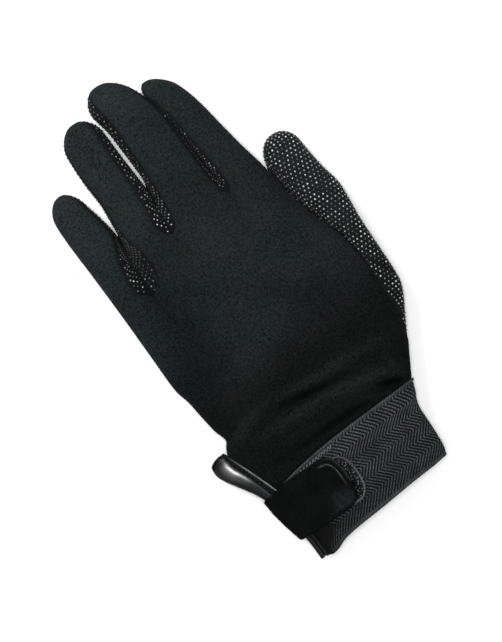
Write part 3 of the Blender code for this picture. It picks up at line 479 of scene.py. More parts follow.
# %% Finger sheets
T_ROWS = np.concatenate([np.linspace(0, 0.3, 19), np.linspace(0.3, 1, 31)[1:]])
T_TIP = 1 + np.concatenate([np.linspace(0, WALL_TURN, 12)[1:], np.linspace(WALL_TURN, 1, 6)[1:]])
T_ALL = np.concatenate([T_ROWS, T_TIP])
T_WALL = T_ALL[T_ALL <= 1 + WALL_TURN + 1e-9]
WALL_SHARES = np.linspace(0, 1, 13)
FOURCHETTES = ["fourchette_ring_little", "fourchette_middle_ring", "fourchette_index_middle"]


def turned_under(place):
    """The same seam, its angle a full turn back, so that the palm side runs on below it."""
    return place[0], place[1] - 2 * math.pi


def finger_walls(number, side, web_line):
    """One side wall of a finger, from the back's seam round to the palm's, starting at the web."""
    t, share = T_WALL[:, None], WALL_SHARES[None, :]
    return tube_sheet(number, t, share, seam(number, side, "back", t), seam(number, side, "palm", t),
                      web_line[None], np.clip(1 - share / ROUND_END, 0, 1) ** ROUND_END_POWER)


for n, finger in enumerate(FINGERS):
    t, share = T_ALL[:, None], EVEN[None, :]
    span = slice(n * STRIP_CELLS, (n + 1) * STRIP_CELLS + 1)
    beside_seam = (n > 0) * np.clip(1 - 2 * share, 0, 1) + (n < 3) * np.clip(2 * share - 1, 0, 1)
    left, right = seam(n, "left", "back", t), seam(n, "right", "back", t)
    grids[finger.name + "_back"] = tube_sheet(n, t, share, left, right, grids["back_hand"][-1:, span],
                                              beside_seam)
    left, right = turned_under(seam(n, "left", "palm", t)), seam(n, "right", "palm", t)
    grids[finger.name + "_palm"] = tube_sheet(n, t, share, left, right, grids["palm_hand"][-1:, span])
for n, name in enumerate(FOURCHETTES):
    web_line = web(n + 1, WALL_SHARES)
    down, up = finger_walls(n, "right", web_line), finger_walls(n + 1, "left", web_line)
    grids[name] = np.concatenate([down[::-1], up[1:]])
print("finger sheets", len(grids) - 2, "grids")

# %% [markdown]
# ## The thumb
# The thumb is one piece of grip fabric: a wedge let into the side of the hand, which closes to a tube
# above the thumb's crotch. Its outer part runs from the wedge's point to the tip. Its inner part starts as
# a point in the crotch and opens upwards.

# %% Thumb sheets
THUMB_SEAM_PLACE = [0, 0.11, 0.22, 0.36, 0.51, 0.67, 0.84, 1]
THUMB_SEAM_OPEN = [0, 0.18, 0.32, 0.42, 0.50, 0.50, 0.50, 0.45]
# The thumb's underside is tucked in towards the hand: how far, by the way up, and at which turn of the oval
THUMB_TUCK_PLACE, THUMB_TUCK = [0, 0.010, 0.034, 0.043, 0.049], [0, 0.0036, 0.0036, 0.0010, 0]
TUCK_TURN, TUCK_SPREAD = math.pi + 0.55, 0.5
THUMB_LIFT_FADE, THUMB_ROOT_FADE = 0.5, 0.25


def gusset(row, share):
    """Round the thumb side of the hand: x follows a cosine out to the edge and back, height the arch."""
    y = border_y(4, row, "back")
    inner, outer = thumb_seam(y), outer_edge(y)
    turn = np.abs(1 - 2 * share) * math.pi / 2
    x = outer - (outer - inner) * (1 - np.cos(turn))
    above, below = (hand_height(np.maximum(x, inner + 1e-5), y, face) for face in ("back", "palm"))
    height = np.where(share < 0.5, above, np.where(share > 0.5, below, side_height(y)))
    height = np.where(share < 1e-9, border_height(4, row, "back"), height)
    height = np.where(share > 1 - 1e-9, border_height(4, row, "palm"), height)
    return np.stack(np.broadcast_arrays(x, y, height), -1)


def thumb_tube(t, angle):
    """Tube of the thumb, lifted to the hand's side height near the crotch and tucked under the hand."""
    y = THUMB.step_y(THUMB.base, t)
    point = THUMB.point(y, angle)
    low = np.exp(-((np.mod(angle, 2 * math.pi) - TUCK_TURN) / TUCK_SPREAD) ** 2)
    reach = np.interp(y - THUMB.base, THUMB_TUCK_PLACE, THUMB_TUCK)
    point[..., 0] -= reach * low
    rest = side_height(np.array(THUMB_CROTCH_Y)) - THUMB.side(y)
    lift = rest * (1 - smooth(0, THUMB_LIFT_FADE, (y - THUMB.base) / THUMB.length))
    point[..., 2] = np.maximum(0, point[..., 2] + lift * (1 - np.abs(np.sin(angle))))
    return point


gusset_rows = ROWS[(ROWS >= THUMB_APEX - 1e-9) & (ROWS <= THUMB_CROTCH + 1e-9)]
ROUND = np.linspace(0, 1, 41)
lower = gusset(gusset_rows[:, None], ROUND[None, :])
t = T_ALL[:, None]
opened = math.pi * (1 - np.interp(t, THUMB_SEAM_PLACE, THUMB_SEAM_OPEN) / 2)
fade = (1 - smooth(0, THUMB_ROOT_FADE, t))[..., None]
outer_tube = thumb_tube(t, mix(opened, -opened, ROUND[None, :]))
outer_tube = outer_tube + (lower[-1:] - outer_tube[:1]) * fade
inner_tube = thumb_tube(t, mix(opened, 2 * math.pi - opened, EVEN[None, :]))
inner_tube = inner_tube + (lower[-1:, :1] - inner_tube[:1]) * fade
grids["thumb_outer"] = np.concatenate([lower, outer_tube[1:]])
grids["thumb_inner"] = inner_tube
print("thumb sheets", grids["thumb_outer"].shape, grids["thumb_inner"].shape)

# %% [markdown]
# ## From sheets to sewn panels
# All sheets go into one mesh and are welded where they meet, so that cloth on both sides of a seam bends
# together. Then every point moves along its normal: sewn edges sink into a groove with a soft roll beside
# it, jersey gets faint waves, and grip fabric sinks by the height of its dots. Last, the mesh is cut up
# again into its panels, each an object of its own.

# %% Which sheet belongs to which panel
PANEL_OF = {"back_hand": "back_panel", "palm_hand": "palm_panel", "thumb_outer": "thumb",
            "thumb_inner": "thumb", **{name: name for name in FOURCHETTES},
            **{f.name + "_back": "back_panel" for f in FINGERS},
            **{f.name + "_palm": "palm_panel" for f in FINGERS}}
PANELS = ["back_panel", "palm_panel", "thumb"] + FOURCHETTES
TURNED = {"palm_hand", "thumb_inner", *FOURCHETTES} | {f.name + "_palm" for f in FINGERS}
print("panels", PANELS)

# %% Lengths along a grid, and the cloth map made from them
def arc_lengths(path):
    """How far along a path each of its points is: the running sum of the steps between them."""
    return np.concatenate([[0], np.cumsum(np.linalg.norm(np.diff(path, axis=0), axis=1))])


def row_lengths(grid):
    """How far along its own row each point of a grid is."""
    lengths = np.zeros(grid.shape[:2])
    lengths[:, 1:] = np.cumsum(np.linalg.norm(np.diff(grid, axis=1), axis=2), axis=1)
    return lengths


def cloth_map(grid):
    """Arc length across each row from its middle, and along the middle column: a flat cloth's x and y."""
    middle = grid.shape[1] // 2
    across, along = row_lengths(grid), arc_lengths(grid[:, middle])
    return np.stack([across - across[:, middle:middle + 1],
                     np.broadcast_to(along[:, None], across.shape)], -1)


# %% Meshes from whole arrays
def grid_faces(rows, columns, turned=False):
    """Corner numbers of every cell of a grid, anticlockwise seen from outside."""
    corner = np.arange(rows - 1)[:, None] * columns + np.arange(columns - 1)[None, :]
    ring = np.stack([corner, corner + 1, corner + 1 + columns, corner + columns], -1).reshape(-1, 4)
    return ring[:, ::-1] if turned else ring


def new_mesh(name, points, faces, uv=None, **values):
    """A mesh from whole arrays: points, faces, one uv for each corner, and values for each point."""
    mesh = bpy.data.meshes.new(name)
    mesh.from_pydata(points, [], faces)
    if uv is not None:
        mesh.uv_layers.new(name="cloth").data.foreach_set("uv", uv.ravel().astype(np.float32))
    for key, value in values.items():
        layer = mesh.attributes.new(key, "FLOAT", "POINT")
        layer.data.foreach_set("value", value.ravel().astype(np.float32))
    return mesh


def grids_to_mesh(name, sheets):
    """Several grids as one mesh in the frame: each one's points, cloth map, turn and point values."""
    points, faces, maps, values, first = [], [], [], {}, 0
    for grid, uv, turned, own in sheets:
        ring = grid_faces(*grid.shape[:2], turned)
        points.append(grid.reshape(-1, 3) + TO_FRAME)
        maps.append(uv.reshape(-1, 2)[ring].reshape(-1, 2))
        faces.append(ring + first)
        first += len(points[-1])
        for key, value in own.items():
            values.setdefault(key, []).append(np.broadcast_to(value, grid.shape[:2]).ravel())
    values = {key: np.concatenate(parts) for key, parts in values.items()}
    return new_mesh(name, np.concatenate(points), np.concatenate(faces).tolist(), np.concatenate(maps),
                    **values)


def weld(mesh, within=0.0, outwards=False):
    """Merges points that lie within a distance of each other, and turns the faces outwards if asked."""
    work = bmesh.new()
    work.from_mesh(mesh)
    if within:
        bmesh.ops.remove_doubles(work, verts=work.verts, dist=within)
    if outwards:
        bmesh.ops.recalc_face_normals(work, faces=work.faces)
    work.to_mesh(mesh)
    work.free()


# %% Weld the sheets
mesh = grids_to_mesh("skin", [(grid, cloth_map(grid), name in TURNED, {}) for name, grid in grids.items()])
panel_of_face = np.repeat([PANELS.index(PANEL_OF[name]) for name in grids],
                          [(grid.shape[0] - 1) * (grid.shape[1] - 1) for grid in grids.values()])
mesh.attributes.new("panel", "INT", "FACE").data.foreach_set("value", panel_of_face)
weld(mesh, within=2e-5)
print("welded skin", len(mesh.vertices), "points", len(mesh.polygons), "faces")

# %% Read the welded skin as arrays
def column_of(items, name, width, kind=np.float32):
    """One property of all the items as an array, with width numbers for each."""
    values = np.zeros(len(items) * width, kind)
    items.foreach_get(name, values)
    return values.reshape(-1, width) if width > 1 else values


place = column_of(mesh.vertices, "co", 3).astype(float)
normal = column_of(mesh.vertex_normals, "vector", 3).astype(float)
loop_point = column_of(mesh.loops, "vertex_index", 1, np.int32)
loop_edge = column_of(mesh.loops, "edge_index", 1, np.int32)
loop_uv = column_of(mesh.uv_layers["cloth"].data, "uv", 2)
face_size = column_of(mesh.polygons, "loop_total", 1, np.int32)
face_panel = column_of(mesh.attributes["panel"].data, "value", 1, np.int32)
edge_ends = column_of(mesh.edges, "vertices", 2, np.int32)
loop_panel = np.repeat(face_panel, face_size)
lowest, highest = np.full(len(edge_ends), len(PANELS)), np.full(len(edge_ends), -1)
np.minimum.at(lowest, loop_edge, loop_panel)
np.maximum.at(highest, loop_edge, loop_panel)
sewn = lowest != highest
free_edge = np.bincount(loop_edge, minlength=len(edge_ends)) == 1


def edge_points(chosen):
    """Three places on each chosen edge: both ends and the middle."""
    ends = place[edge_ends[chosen]]
    return np.concatenate([ends[:, 0], ends[:, 1], ends.mean(axis=1)])


def distance_to(points, targets):
    """Smallest distance from each point to any target, from |a|^2 + |b|^2 - 2ab, a block at a time."""
    found, block_size = np.zeros(len(points)), 8000
    for first in range(0, len(points), block_size):
        block = points[first:first + block_size]
        squares = (block ** 2).sum(1)[:, None] + (targets ** 2).sum(1)[None] - 2 * block @ targets.T
        found[first:first + block_size] = np.sqrt(np.maximum(squares.min(axis=1), 0))
    return found


seam_distance = distance_to(place, edge_points(sewn))
rim_distance = distance_to(place, edge_points(free_edge))
print("sewn edges", int(sewn.sum()), "free edges", int(free_edge.sum()))

# %% Move the cloth: grooves, rolls, waves and the dots' inset
# Depth or height, then width: the groove at a seam, the roll beside it and the tuck of a free edge
GROOVE, GROOVE_WIDTH = 0.00045, 0.0009
ROLL, ROLL_WIDTH, ROLL_PLACE = 0.00022, 0.0013, 0.0022
RIM_TUCK, RIM_WIDTH = 0.0006, 0.0012
# Height and length of the jersey's waves
JERSEY_WAVES, WAVE_SEED = [(0.00014, 0.020), (0.00007, 0.008)], 7
# The dots' height, by which their fabric sinks, and the least height of any cloth above the table
DOT_HEIGHT, JUST_ABOVE = 0.00035, 0.00002
# The crease across the thumb's gusset: its two ends, depth, width and how softly it ends
GUSSET_CREASE = np.array([(0.0519, -0.0158), (0.0594, -0.0283)])
CREASE_DEPTH, CREASE_WIDTH, CREASE_END = 0.0009, 0.0013, 0.002


def waves(x, y, size, seed, count=9):
    """Sum of plane cosine waves about as long as size, each with its own seeded direction and phase."""
    random = np.random.default_rng(seed)
    total = np.zeros_like(x)
    for _ in range(count):
        turn, phase = random.uniform(0, 2 * math.pi, 2)
        length = size * random.uniform(0.7, 1.6)
        total += np.cos(2 * math.pi * (x * math.cos(turn) + y * math.sin(turn)) / length + phase)
    return total / math.sqrt(count)


def beside_crease(x, y, width):
    """exp(-(d / width)^2) of the distance d to the gusset's crease, fading beyond its two ends."""
    start, end = GUSSET_CREASE
    length = math.dist(start, end)
    c, s = (end - start) / length
    along = (x - start[0]) * c + (y - start[1]) * s
    off = (y - start[1]) * c - (x - start[0]) * s
    beyond = np.maximum(0, np.maximum(-along, along - length))
    return np.exp(-(off / width) ** 2 - (beyond / CREASE_END) ** 2)


on_back, on_grip = np.zeros(len(place), bool), np.zeros(len(place), bool)
on_back[loop_point[loop_panel == 0]] = True
on_grip[loop_point[loop_panel > 0]] = True
only_grip = on_grip & ~on_back
x, y = place[:, 0], place[:, 1]
facing_up = smooth(0.05, 0.45, np.abs(normal[:, 2]))
move = -GROOVE * np.exp(-(seam_distance / GROOVE_WIDTH) ** 2) * mix(0.3, 1, facing_up)
move += ROLL * np.exp(-((seam_distance - ROLL_PLACE) / ROLL_WIDTH) ** 2) * on_back
move -= RIM_TUCK * np.exp(-(rim_distance / RIM_WIDTH) ** 2)
inside = smooth(0.001, 0.006, np.minimum(seam_distance, rim_distance))
slack = sum(height * waves(x, y, size, WAVE_SEED + n) for n, (height, size) in enumerate(JERSEY_WAVES))
move += slack * inside * on_back * smooth(0.3, 0.8, normal[:, 2])
move -= DOT_HEIGHT * smooth(0.0004, 0.0018, seam_distance) * only_grip
move -= CREASE_DEPTH * beside_crease(x, y, CREASE_WIDTH) * smooth(0.1, 0.4, normal[:, 2]) * only_grip
place_moved = place + normal * move[:, None]
place_moved[:, 2] = np.maximum(place_moved[:, 2], JUST_ABOVE)
print("cloth moved by up to %.2f mm" % (np.abs(move).max() * 1000))

# %% Cut the skin into panels
# Fold height at which the jersey's painted fold shade is at its full
FULL_RIDGE = 0.0009


def finish_mesh(name, mesh, node=None, sharp=60):
    """Shades a new piece smooth, puts it on the frame's body and hides the CAD part it stands for, where one
    is given.
    """
    mesh.validate()
    mesh.shade_smooth()
    mesh.set_sharp_from_angle(angle=math.radians(sharp))
    piece = bpy.data.objects.new(name, mesh)
    bpy.context.scene.collection.objects.link(piece)
    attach(piece, "root")
    if node:
        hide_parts(node)
    return piece


def add_wall(piece, thickness):
    """A wall that grows inwards from the piece's surface."""
    wall = piece.modifiers.new("wall", "SOLIDIFY")
    wall.thickness, wall.offset = thickness, -1


def cut_panel(name):
    """The faces of one panel with their own points, and on the jersey how high its folds stand there, which
    sets the folds' painted shade.
    """
    chosen = face_panel == PANELS.index(name)
    loops = np.repeat(chosen, face_size)
    used, corner = np.unique(loop_point[loops], return_inverse=True)
    ends = np.cumsum(face_size[chosen])
    rings = [ring.tolist() for ring in np.split(corner, ends[:-1])]
    values = {}
    if name == "back_panel":
        ridge = fold_height(*(place[used] - TO_FRAME)[:, :2].T) / FULL_RIDGE
        values["ridge"] = np.clip(ridge, -1, 1)
    mesh = new_mesh(name, place_moved[used], rings, loop_uv[loops], **values)
    piece = finish_mesh(name + "_cloth", mesh, name)
    add_wall(piece, FABRIC_WALL)
    return piece


pieces = {name: cut_panel(name) for name in PANELS}
bpy.data.meshes.remove(mesh)
print({name: len(piece.data.polygons) for name, piece in pieces.items()})

# %% [markdown]
# ## The elastic band
# The cuff is one length of wide elastic, woven in a herringbone: ribs that lean one way, turn, and lean
# back. Real ribs catch the light, so they are modelled, not painted. The columns of the grid follow the
# zigzag, which lets a coarse grid carry crisp ribs. Both long edges end in a denser woven selvedge.

# %% Band surface
RIB_PITCH, RIB_HEIGHT, RIB_TURN, FIRST_TURN = 0.00188, 0.00034, 0.0056, 0.0080
SELVEDGE, LOW_SELVEDGE, SELVEDGE_RISE = 0.0013, 0.0015, 0.00050
# The hem sags a little, more in its middle and at the vent's corner: place across and spread of each
HEM_SAG, HEM_MIDDLE, HEM_CORNER = 0.0003, 0.0009, 0.0012
MIDDLE_AT, MIDDLE_SPREAD, CORNER_AT, CORNER_SPREAD = 0.46, 0.24, 0.07, 0.06
RIB_CELLS, TWILL_ALONG, TWILL_DOWN, TWILL_RISE, BAND_INSET = 8, 0.0011, 0.0016, 0.00010, 0.0002
# The elastic's cut end is plain below the tab, its ribs flatter and painted darker there, partly as wear and
# partly as painted shade: from how far down, and how wide there and at the hem
PLAIN_FROM, PLAIN_TOP_WIDTH, PLAIN_HEM_WIDTH = 0.026, 0.0100, 0.0046


def line_up(rows, lengths):
    """Moves the points of each row to given shares of its arc length, by linear interpolation."""
    out = np.zeros((len(rows), lengths.shape[1], 3))
    for n, row in enumerate(rows):
        run = arc_lengths(row)
        for axis in range(3):
            out[n, :, axis] = np.interp(lengths[n] * run[-1], run, row[:, axis])
    return out


def evenly(path, count):
    """Count places at even arc lengths along a path of points."""
    return line_up(path[None], np.linspace(0, 1, count)[None])[0]


def grid_normals(grid):
    """Cross product of the grid's two directions, along its columns and along its rows."""
    across = np.gradient(grid, axis=1)
    up = np.gradient(grid, axis=0)
    normals = np.cross(across, up)
    return normals / np.maximum(np.linalg.norm(normals, axis=2, keepdims=True), 1e-12)


def cuff_sheet(depth, around):
    """Round the wrist: 0 to 1 over the back from the vent to the thumb side, 1 to 2 under the palm."""
    across = np.where(around <= 1, around, 2 - around)
    sag = HEM_SAG + HEM_MIDDLE * np.exp(-((across - MIDDLE_AT) / MIDDLE_SPREAD) ** 2)
    sag = sag + HEM_CORNER * np.exp(-((across - CORNER_AT) / CORNER_SPREAD) ** 2)
    sag = sag * smooth(0, 0.03, across)
    y = wrist_line(across) - depth * CUFF_DEPTH
    left = mix(left_edge(y), thumb_seam(y), VENT_SHARE)
    x = mix(left, thumb_seam(y), across)
    z = np.where(around <= 1, hand_height(x, y, "back"), hand_height(x, y, "palm"))
    y = y - sag * smooth(0.97, 0.90, across) * depth ** 5
    return np.stack(np.broadcast_arrays(x, y, z), -1)


def zigzag(down):
    """Triangle wave of the way down the band, with slopes of one: ribs at 45 degrees that turn."""
    phase = (down - FIRST_TURN) / (2 * RIB_TURN)
    return RIB_TURN * (0.5 - 2 * np.abs(phase - np.round(phase)))


edge_rows = np.array([0, 0.2, 0.5, 0.8, 1.1, 1.4, 1.7, 2.0]) / 1000
turns = FIRST_TURN + RIB_TURN * np.arange(0, 5)
down = np.unique(np.round(np.concatenate([
    edge_rows, np.arange(0.0024, 0.0360, 0.0008), turns, CUFF_DEPTH - edge_rows]), 6))
bow = np.linspace(0, 1, 500)
around = np.concatenate([(1 - np.cos(math.pi * bow)) / 2, 1 + (1 - np.cos(math.pi * bow[1:])) / 2])
base = cuff_sheet(down[:, None] / CUFF_DEPTH, around[None, :])
band_length = arc_lengths(base[len(down) // 2])[-1]
ribs = int(round(band_length / RIB_PITCH))
along = np.linspace(0, band_length, ribs * RIB_CELLS + 1)
free = smooth(0, 0.006, along) * smooth(band_length, band_length - 0.006, along)
shifted = along[None, :] + zigzag(down)[:, None] * free[None, :]
band = line_up(base, shifted / band_length)
rib = smooth(0.18, 0.85, np.sin(math.pi * along * ribs / band_length) ** 2)[None, :]
woven = smooth(SELVEDGE, SELVEDGE + 0.0006, down)
woven = (woven * (1 - smooth(CUFF_DEPTH - LOW_SELVEDGE - 0.0006, CUFF_DEPTH - LOW_SELVEDGE, down)))[:, None]
twill = 0.5 + 0.5 * np.cos(2 * math.pi * (along[None, :] / TWILL_ALONG + down[:, None] / TWILL_DOWN))
edge_place = np.minimum(down, CUFF_DEPTH - down)[:, None]
roll = SELVEDGE_RISE * np.sqrt(np.clip(1 - ((edge_place - 0.0006) / 0.0007) ** 2, 0, 1))
plain_end = mix(PLAIN_TOP_WIDTH, PLAIN_HEM_WIDTH, (down - PLAIN_FROM) / (CUFF_DEPTH - PLAIN_FROM))
plain_end = plain_end - 2 * PLAIN_TOP_WIDTH * smooth(PLAIN_FROM - 0.002, PLAIN_FROM - 0.006, down)
from_plain = along[None, :] - plain_end[:, None]
ribbed = smooth(-0.001, 0.001, from_plain)
relief = RIB_HEIGHT * rib * woven * mix(0.25, 1, ribbed) + (roll + TWILL_RISE * twill) * (1 - woven)
band = band + grid_normals(band) * -relief[..., None]
print("band", band.shape, "around %.1f mm" % (band_length * 1000), ribs, "ribs")

# %% Band object
band_uv = np.stack(np.broadcast_arrays(shifted, down[:, None]), -1)
weave_top = np.clip(rib * woven + (0.55 + 0.45 * twill) * (1 - woven), 0, 1)
# Ribs painted darker at the plain end and within 10 mm of it: partly wear, partly painted shade
weave_top = weave_top * mix(0.15, 1, ribbed) * mix(0.6, 1, smooth(0, 0.010, from_plain))
mesh = grids_to_mesh("elastic_band", [(band, band_uv, True, {"weave_top": weave_top})])
pieces["cuff_band"] = finish_mesh("elastic_band", mesh, "cuff_band")
add_wall(pieces["cuff_band"], BAND_WALL - BAND_INSET)

# %% [markdown]
# ## The loop patch
# The patch is the soft half of the closure, sewn to the band with a zigzag round its edge. It is a thin
# sheet that lies on the band with a rounded end, and its surface is a pile of tiny loops, here a fine
# relief in the mesh and more in the material.

# %% Loop patch
TAB_DEPTH, TAB_REACH, TAB_ROOT, TAB_END_ROUND = 0.0266, 0.0395, 0.0190, 0.0090
PATCH_DEPTH, PATCH_REACH, PATCH_LENGTH, PATCH_END_ROUND = 0.0240, 0.0443, 0.0323, 0.0095
PATCH_EDGE, END_ARCH, PILE_RISE, PILE_LOOP, HEM_RISE = 0.0006, 2.6, 0.00012, 0.0014, 0.00018
TAB_TOP = wrist_line(0.05) + LAY_GAP


def end_inset(share, depth):
    """How far a rounded end draws back: nothing in the middle of the strap, the whole depth at its edges."""
    return depth * (1 - arch(share, END_ARCH))


def edge_curve(distance, reach):
    """sqrt(1 - (1 - d)^2) of the share d of the reach: a quarter circle up from the edge."""
    return np.sqrt(1 - (1 - np.clip(distance / reach, 0, 1)) ** 2)


def closed_sheet(name, middle, thickness, top_relief, node, slot, **values):
    """Two grids half a thickness out from the middle one, welded round the edge where it is zero."""
    normals, uv = grid_normals(middle), cloth_map(middle)
    upper = middle + normals * (thickness / 2 + top_relief)[..., None]
    lower = middle - normals * (thickness / 2)[..., None]
    for face in (upper, lower):
        face[..., 2] = np.maximum(face[..., 2], JUST_ABOVE)
    plain = {key: 0 * value for key, value in values.items()}
    mesh = grids_to_mesh(name, [(upper, uv, False, values), (lower, uv, True, plain)])
    weld(mesh, within=1e-5)
    return finish_mesh(name, mesh, node)


u, v = np.linspace(0, 1, 61)[:, None], np.linspace(0, 1, 91)[None, :]
patch_y = TAB_TOP - (TAB_DEPTH - PATCH_DEPTH) - PATCH_DEPTH * u + 0 * v
patch_end = -HALF_CUFF + PATCH_REACH - end_inset(u, PATCH_END_ROUND)
patch_x = mix(patch_end, -HALF_CUFF + PATCH_REACH - PATCH_LENGTH, v)
patch_z = hand_height(patch_x, patch_y, "back") + LAY_GAP + PATCH_WALL / 2
patch_middle = np.stack([patch_x, patch_y, patch_z], -1)
from_edge = np.minimum(np.minimum(u, 1 - u) * PATCH_DEPTH, np.minimum(v, 1 - v) * PATCH_LENGTH)
pile_loops = PILE_RISE * np.abs(waves(patch_x, patch_y, PILE_LOOP, 21)) * smooth(0.0012, 0.002, from_edge)
hem = smooth(0.0016, 0.0010, from_edge) * smooth(0, 0.0005, from_edge)
patch_thick = PATCH_WALL * edge_curve(from_edge, PATCH_EDGE)
pieces["loop_patch"] = closed_sheet("loop_patch_pile", patch_middle, patch_thick, pile_loops + HEM_RISE * hem,
                                    "loop_patch", "loop_pile", hem=hem)
print("loop patch", patch_middle.shape)

# %% [markdown]
# ## The tab
# The tab starts on the palm side, comes round the little-finger side and lies on the patch. It is a
# velvety strap with a smooth raised border round its free end. Its path is an oval, and a row of the grid
# runs along it at each place across the strap.

# %% Tab
TAB_STANDS_OUT = np.array([(0.00, 0.0081), (0.22, 0.0088), (0.60, 0.0076), (0.88, 0.0067), (1.00, 0.0061)])
VENT_TOP = mix(wrist_line(0), crotch_line(0, "back"), VENT_APEX)
VENT_LENGTH = VENT_TOP - wrist_line(0) + CUFF_DEPTH
BORDER, TAB_DIP, TAB_EDGE = 0.0031, 0.0024, 0.0009
# Height and width of the raised welt, the hollow outside it, the rim, the pressed line and the nap's lumps
WELT_RISE, WELT_WIDTH, HOLLOW, HOLLOW_WIDTH = 0.00065, 0.00034, 0.00035, 0.0011
RIM_RISE, RIM_WIDE, PRESSED, NAP_RISE, NAP_SIZE = 0.00022, 0.0005, 0.0002, 0.00004, 0.004
# Where the welt shows and where lint lies, by the distance from the top edge and from the end
WELT_BELOW, WELT_ABOVE, WELT_BEFORE = (0.0004, 0.0018), (0.0175, 0.0145), (0.0082, 0.0066)
LINT_BELOW, LINT_BEFORE, LINT_SIZE = (0.0130, 0.0215), (0.0175, 0.0070), 0.0035


def tab_sheet(across, way):
    """Oval round the little-finger side, from the root under the cuff over to the rounded end."""
    y = TAB_TOP - TAB_DEPTH * across
    edge = mix(left_edge(y), outer_edge(y), VENT_SHARE)
    left, right = edge - read(TAB_STANDS_OUT, 1, across) + TAB_WALL / 2, thumb_seam(y)
    side = side_height(y)
    over = crown_height(y) + 2 * LAY_GAP + PATCH_WALL + TAB_WALL / 2
    end = -HALF_CUFF + TAB_REACH - end_inset(across, TAB_END_ROUND)
    root = -HALF_CUFF + TAB_ROOT
    start_angle, end_angle = (
        np.arccos(-np.abs(1 - 2 * (x - left) / (right - left)) ** (TAB_ROUND / 2)) for x in (root, end))
    angle = mix(2 * math.pi - start_angle, end_angle, way)
    lift = rounded(np.sin(angle), TAB_ROUND)
    x = mix(left, right, (1 + rounded(np.cos(angle), TAB_ROUND)) / 2)
    under = np.maximum(TAB_WALL / 2, side + (side - TAB_WALL / 2 + PRESSED_FLAT) * lift)
    z = np.where(lift > 0, side + (over - side) * lift, under)
    y = y - TAB_DIP * smooth(-0.55, -0.98, np.cos(angle)) * (1 - across) ** 2
    return np.stack(np.broadcast_arrays(x, y, z), -1)


across = np.linspace(1, 0, 71)[:, None]
fine = tab_sheet(across, np.linspace(0, 1, 600)[None, :])
way = np.concatenate([np.linspace(0, 0.9, 150), np.linspace(0.9, 1, 41)[1:]])
tab_middle = line_up(fine, np.broadcast_to(way, (len(across), len(way))))
row_run = row_lengths(tab_middle)
from_end, from_top = row_run[:, -1:] - row_run, across * TAB_DEPTH
from_long_edge = np.minimum(across, 1 - across) * TAB_DEPTH + 0 * row_run
near_rim = np.minimum(np.minimum(from_end, from_long_edge), row_run)
tab_x, tab_y = tab_middle[..., 0], tab_middle[..., 1]
print("tab", tab_middle.shape)

# %% Tab relief: a welt and a hollow beside the free end, a rim, a pressed line, and lint at one corner
from_curve = distance_to(tab_middle.reshape(-1, 3), evenly(tab_middle[:, -1], 500)).reshape(from_end.shape)
shown = smooth(*WELT_BELOW, from_top) * smooth(*WELT_ABOVE, from_top) * smooth(*WELT_BEFORE, from_end)
welt = np.exp(-((from_curve - BORDER) / WELT_WIDTH) ** 2) * shown
hollow = np.exp(-((from_curve - BORDER / 2) / HOLLOW_WIDTH) ** 2) * shown
rim = np.exp(-((from_curve - 0.0006) / RIM_WIDE) ** 2)
pressed = np.exp(-((from_long_edge - 0.0030) / RIM_WIDE) ** 2)
pressed = pressed * smooth(0.5, 0.6, across) * smooth(0.014, 0.018, from_end)
nap = NAP_RISE * waves(tab_x, tab_y, NAP_SIZE, 31)
tab_relief = WELT_RISE * welt - HOLLOW * hollow + RIM_RISE * rim - PRESSED * pressed + nap
tab_relief = tab_relief * smooth(0, 0.0008, near_rim)
fuzzy = smooth(*LINT_BELOW, from_top) * smooth(*LINT_BEFORE, from_end) * smooth(0.0005, 0.003, near_rim)
fuzzy = np.clip(fuzzy * (1 + 0.35 * waves(tab_x, tab_y, LINT_SIZE, 33)), 0, 1)
# The welt value makes the border glossy and paints it lighter, also along the rim, as painted highlight
pieces["tab"] = closed_sheet("closing_tab", tab_middle, TAB_WALL * edge_curve(near_rim, TAB_EDGE), tab_relief,
                             "tab", "tab_suede", welt=(welt + 0.35 * rim * shown) * (1 - fuzzy), fuzzy=fuzzy)

# %% [markdown]
# ## The leather binding
# Glossy leather binds the raw edges of the vent. It has three parts, all grids whose cross-section is a
# flattened oval: a broad facing down the palm edge, a flat flange that runs from the facing in under the
# back, and a thin piping up the back edge and round the facing's top. Where the facing is sewn it is drawn
# in a little at every stitch. A gloss value says where the leather is stretched and shines.

# %% Binding lines
FACING_WIDTH, FULL_WIDTH, FACING_SWELL, FACING_STITCH = 0.0100, 0.0088, 0.0021, 0.0024
INNER_LEVEL, OUTER_LEVEL = 0.94, 0.76
# How far down the vent the inner point is, how far out from the vent's edge, then the same of the outer point
FACINGS = np.array([
    (0.045, 0.15, 0.067, 0.96), (0.082, 0.13, 0.097, 1.01), (0.124, 0.17, 0.145, 1.12),
    (0.186, 0.23, 0.204, 1.15), (0.253, 0.24, 0.267, 1.03), (0.320, 0.24, 0.326, 0.92),
    (0.387, 0.28, 0.387, 0.83), (0.455, 0.33, 0.455, 0.75), (0.529, 0.30, 0.529, 0.61),
    (0.678, 0.24, 0.678, 0.45), (0.857, 0.19, 0.857, 0.38), (1.000, 0.19, 1.000, 0.39)])


def smooth_path(points, finer):
    """Catmull-Rom curve through the points, each span cut into finer steps."""
    points = np.asarray(points, float)
    ends = np.concatenate([points[:1], points, points[-1:]])
    t = np.linspace(0, 1, finer, endpoint=False)[None, :, None]
    p0, p1, p2, p3 = (ends[n:len(ends) - 3 + n, None, :] for n in range(4))
    line = 0.5 * (2 * p1 + (p2 - p0) * t + (2 * p0 - 5 * p1 + 4 * p2 - p3) * t ** 2
                  + (3 * p1 - p0 - 3 * p2 + p3) * t ** 3)
    return np.concatenate([line.reshape(-1, 3), points[-1:]])


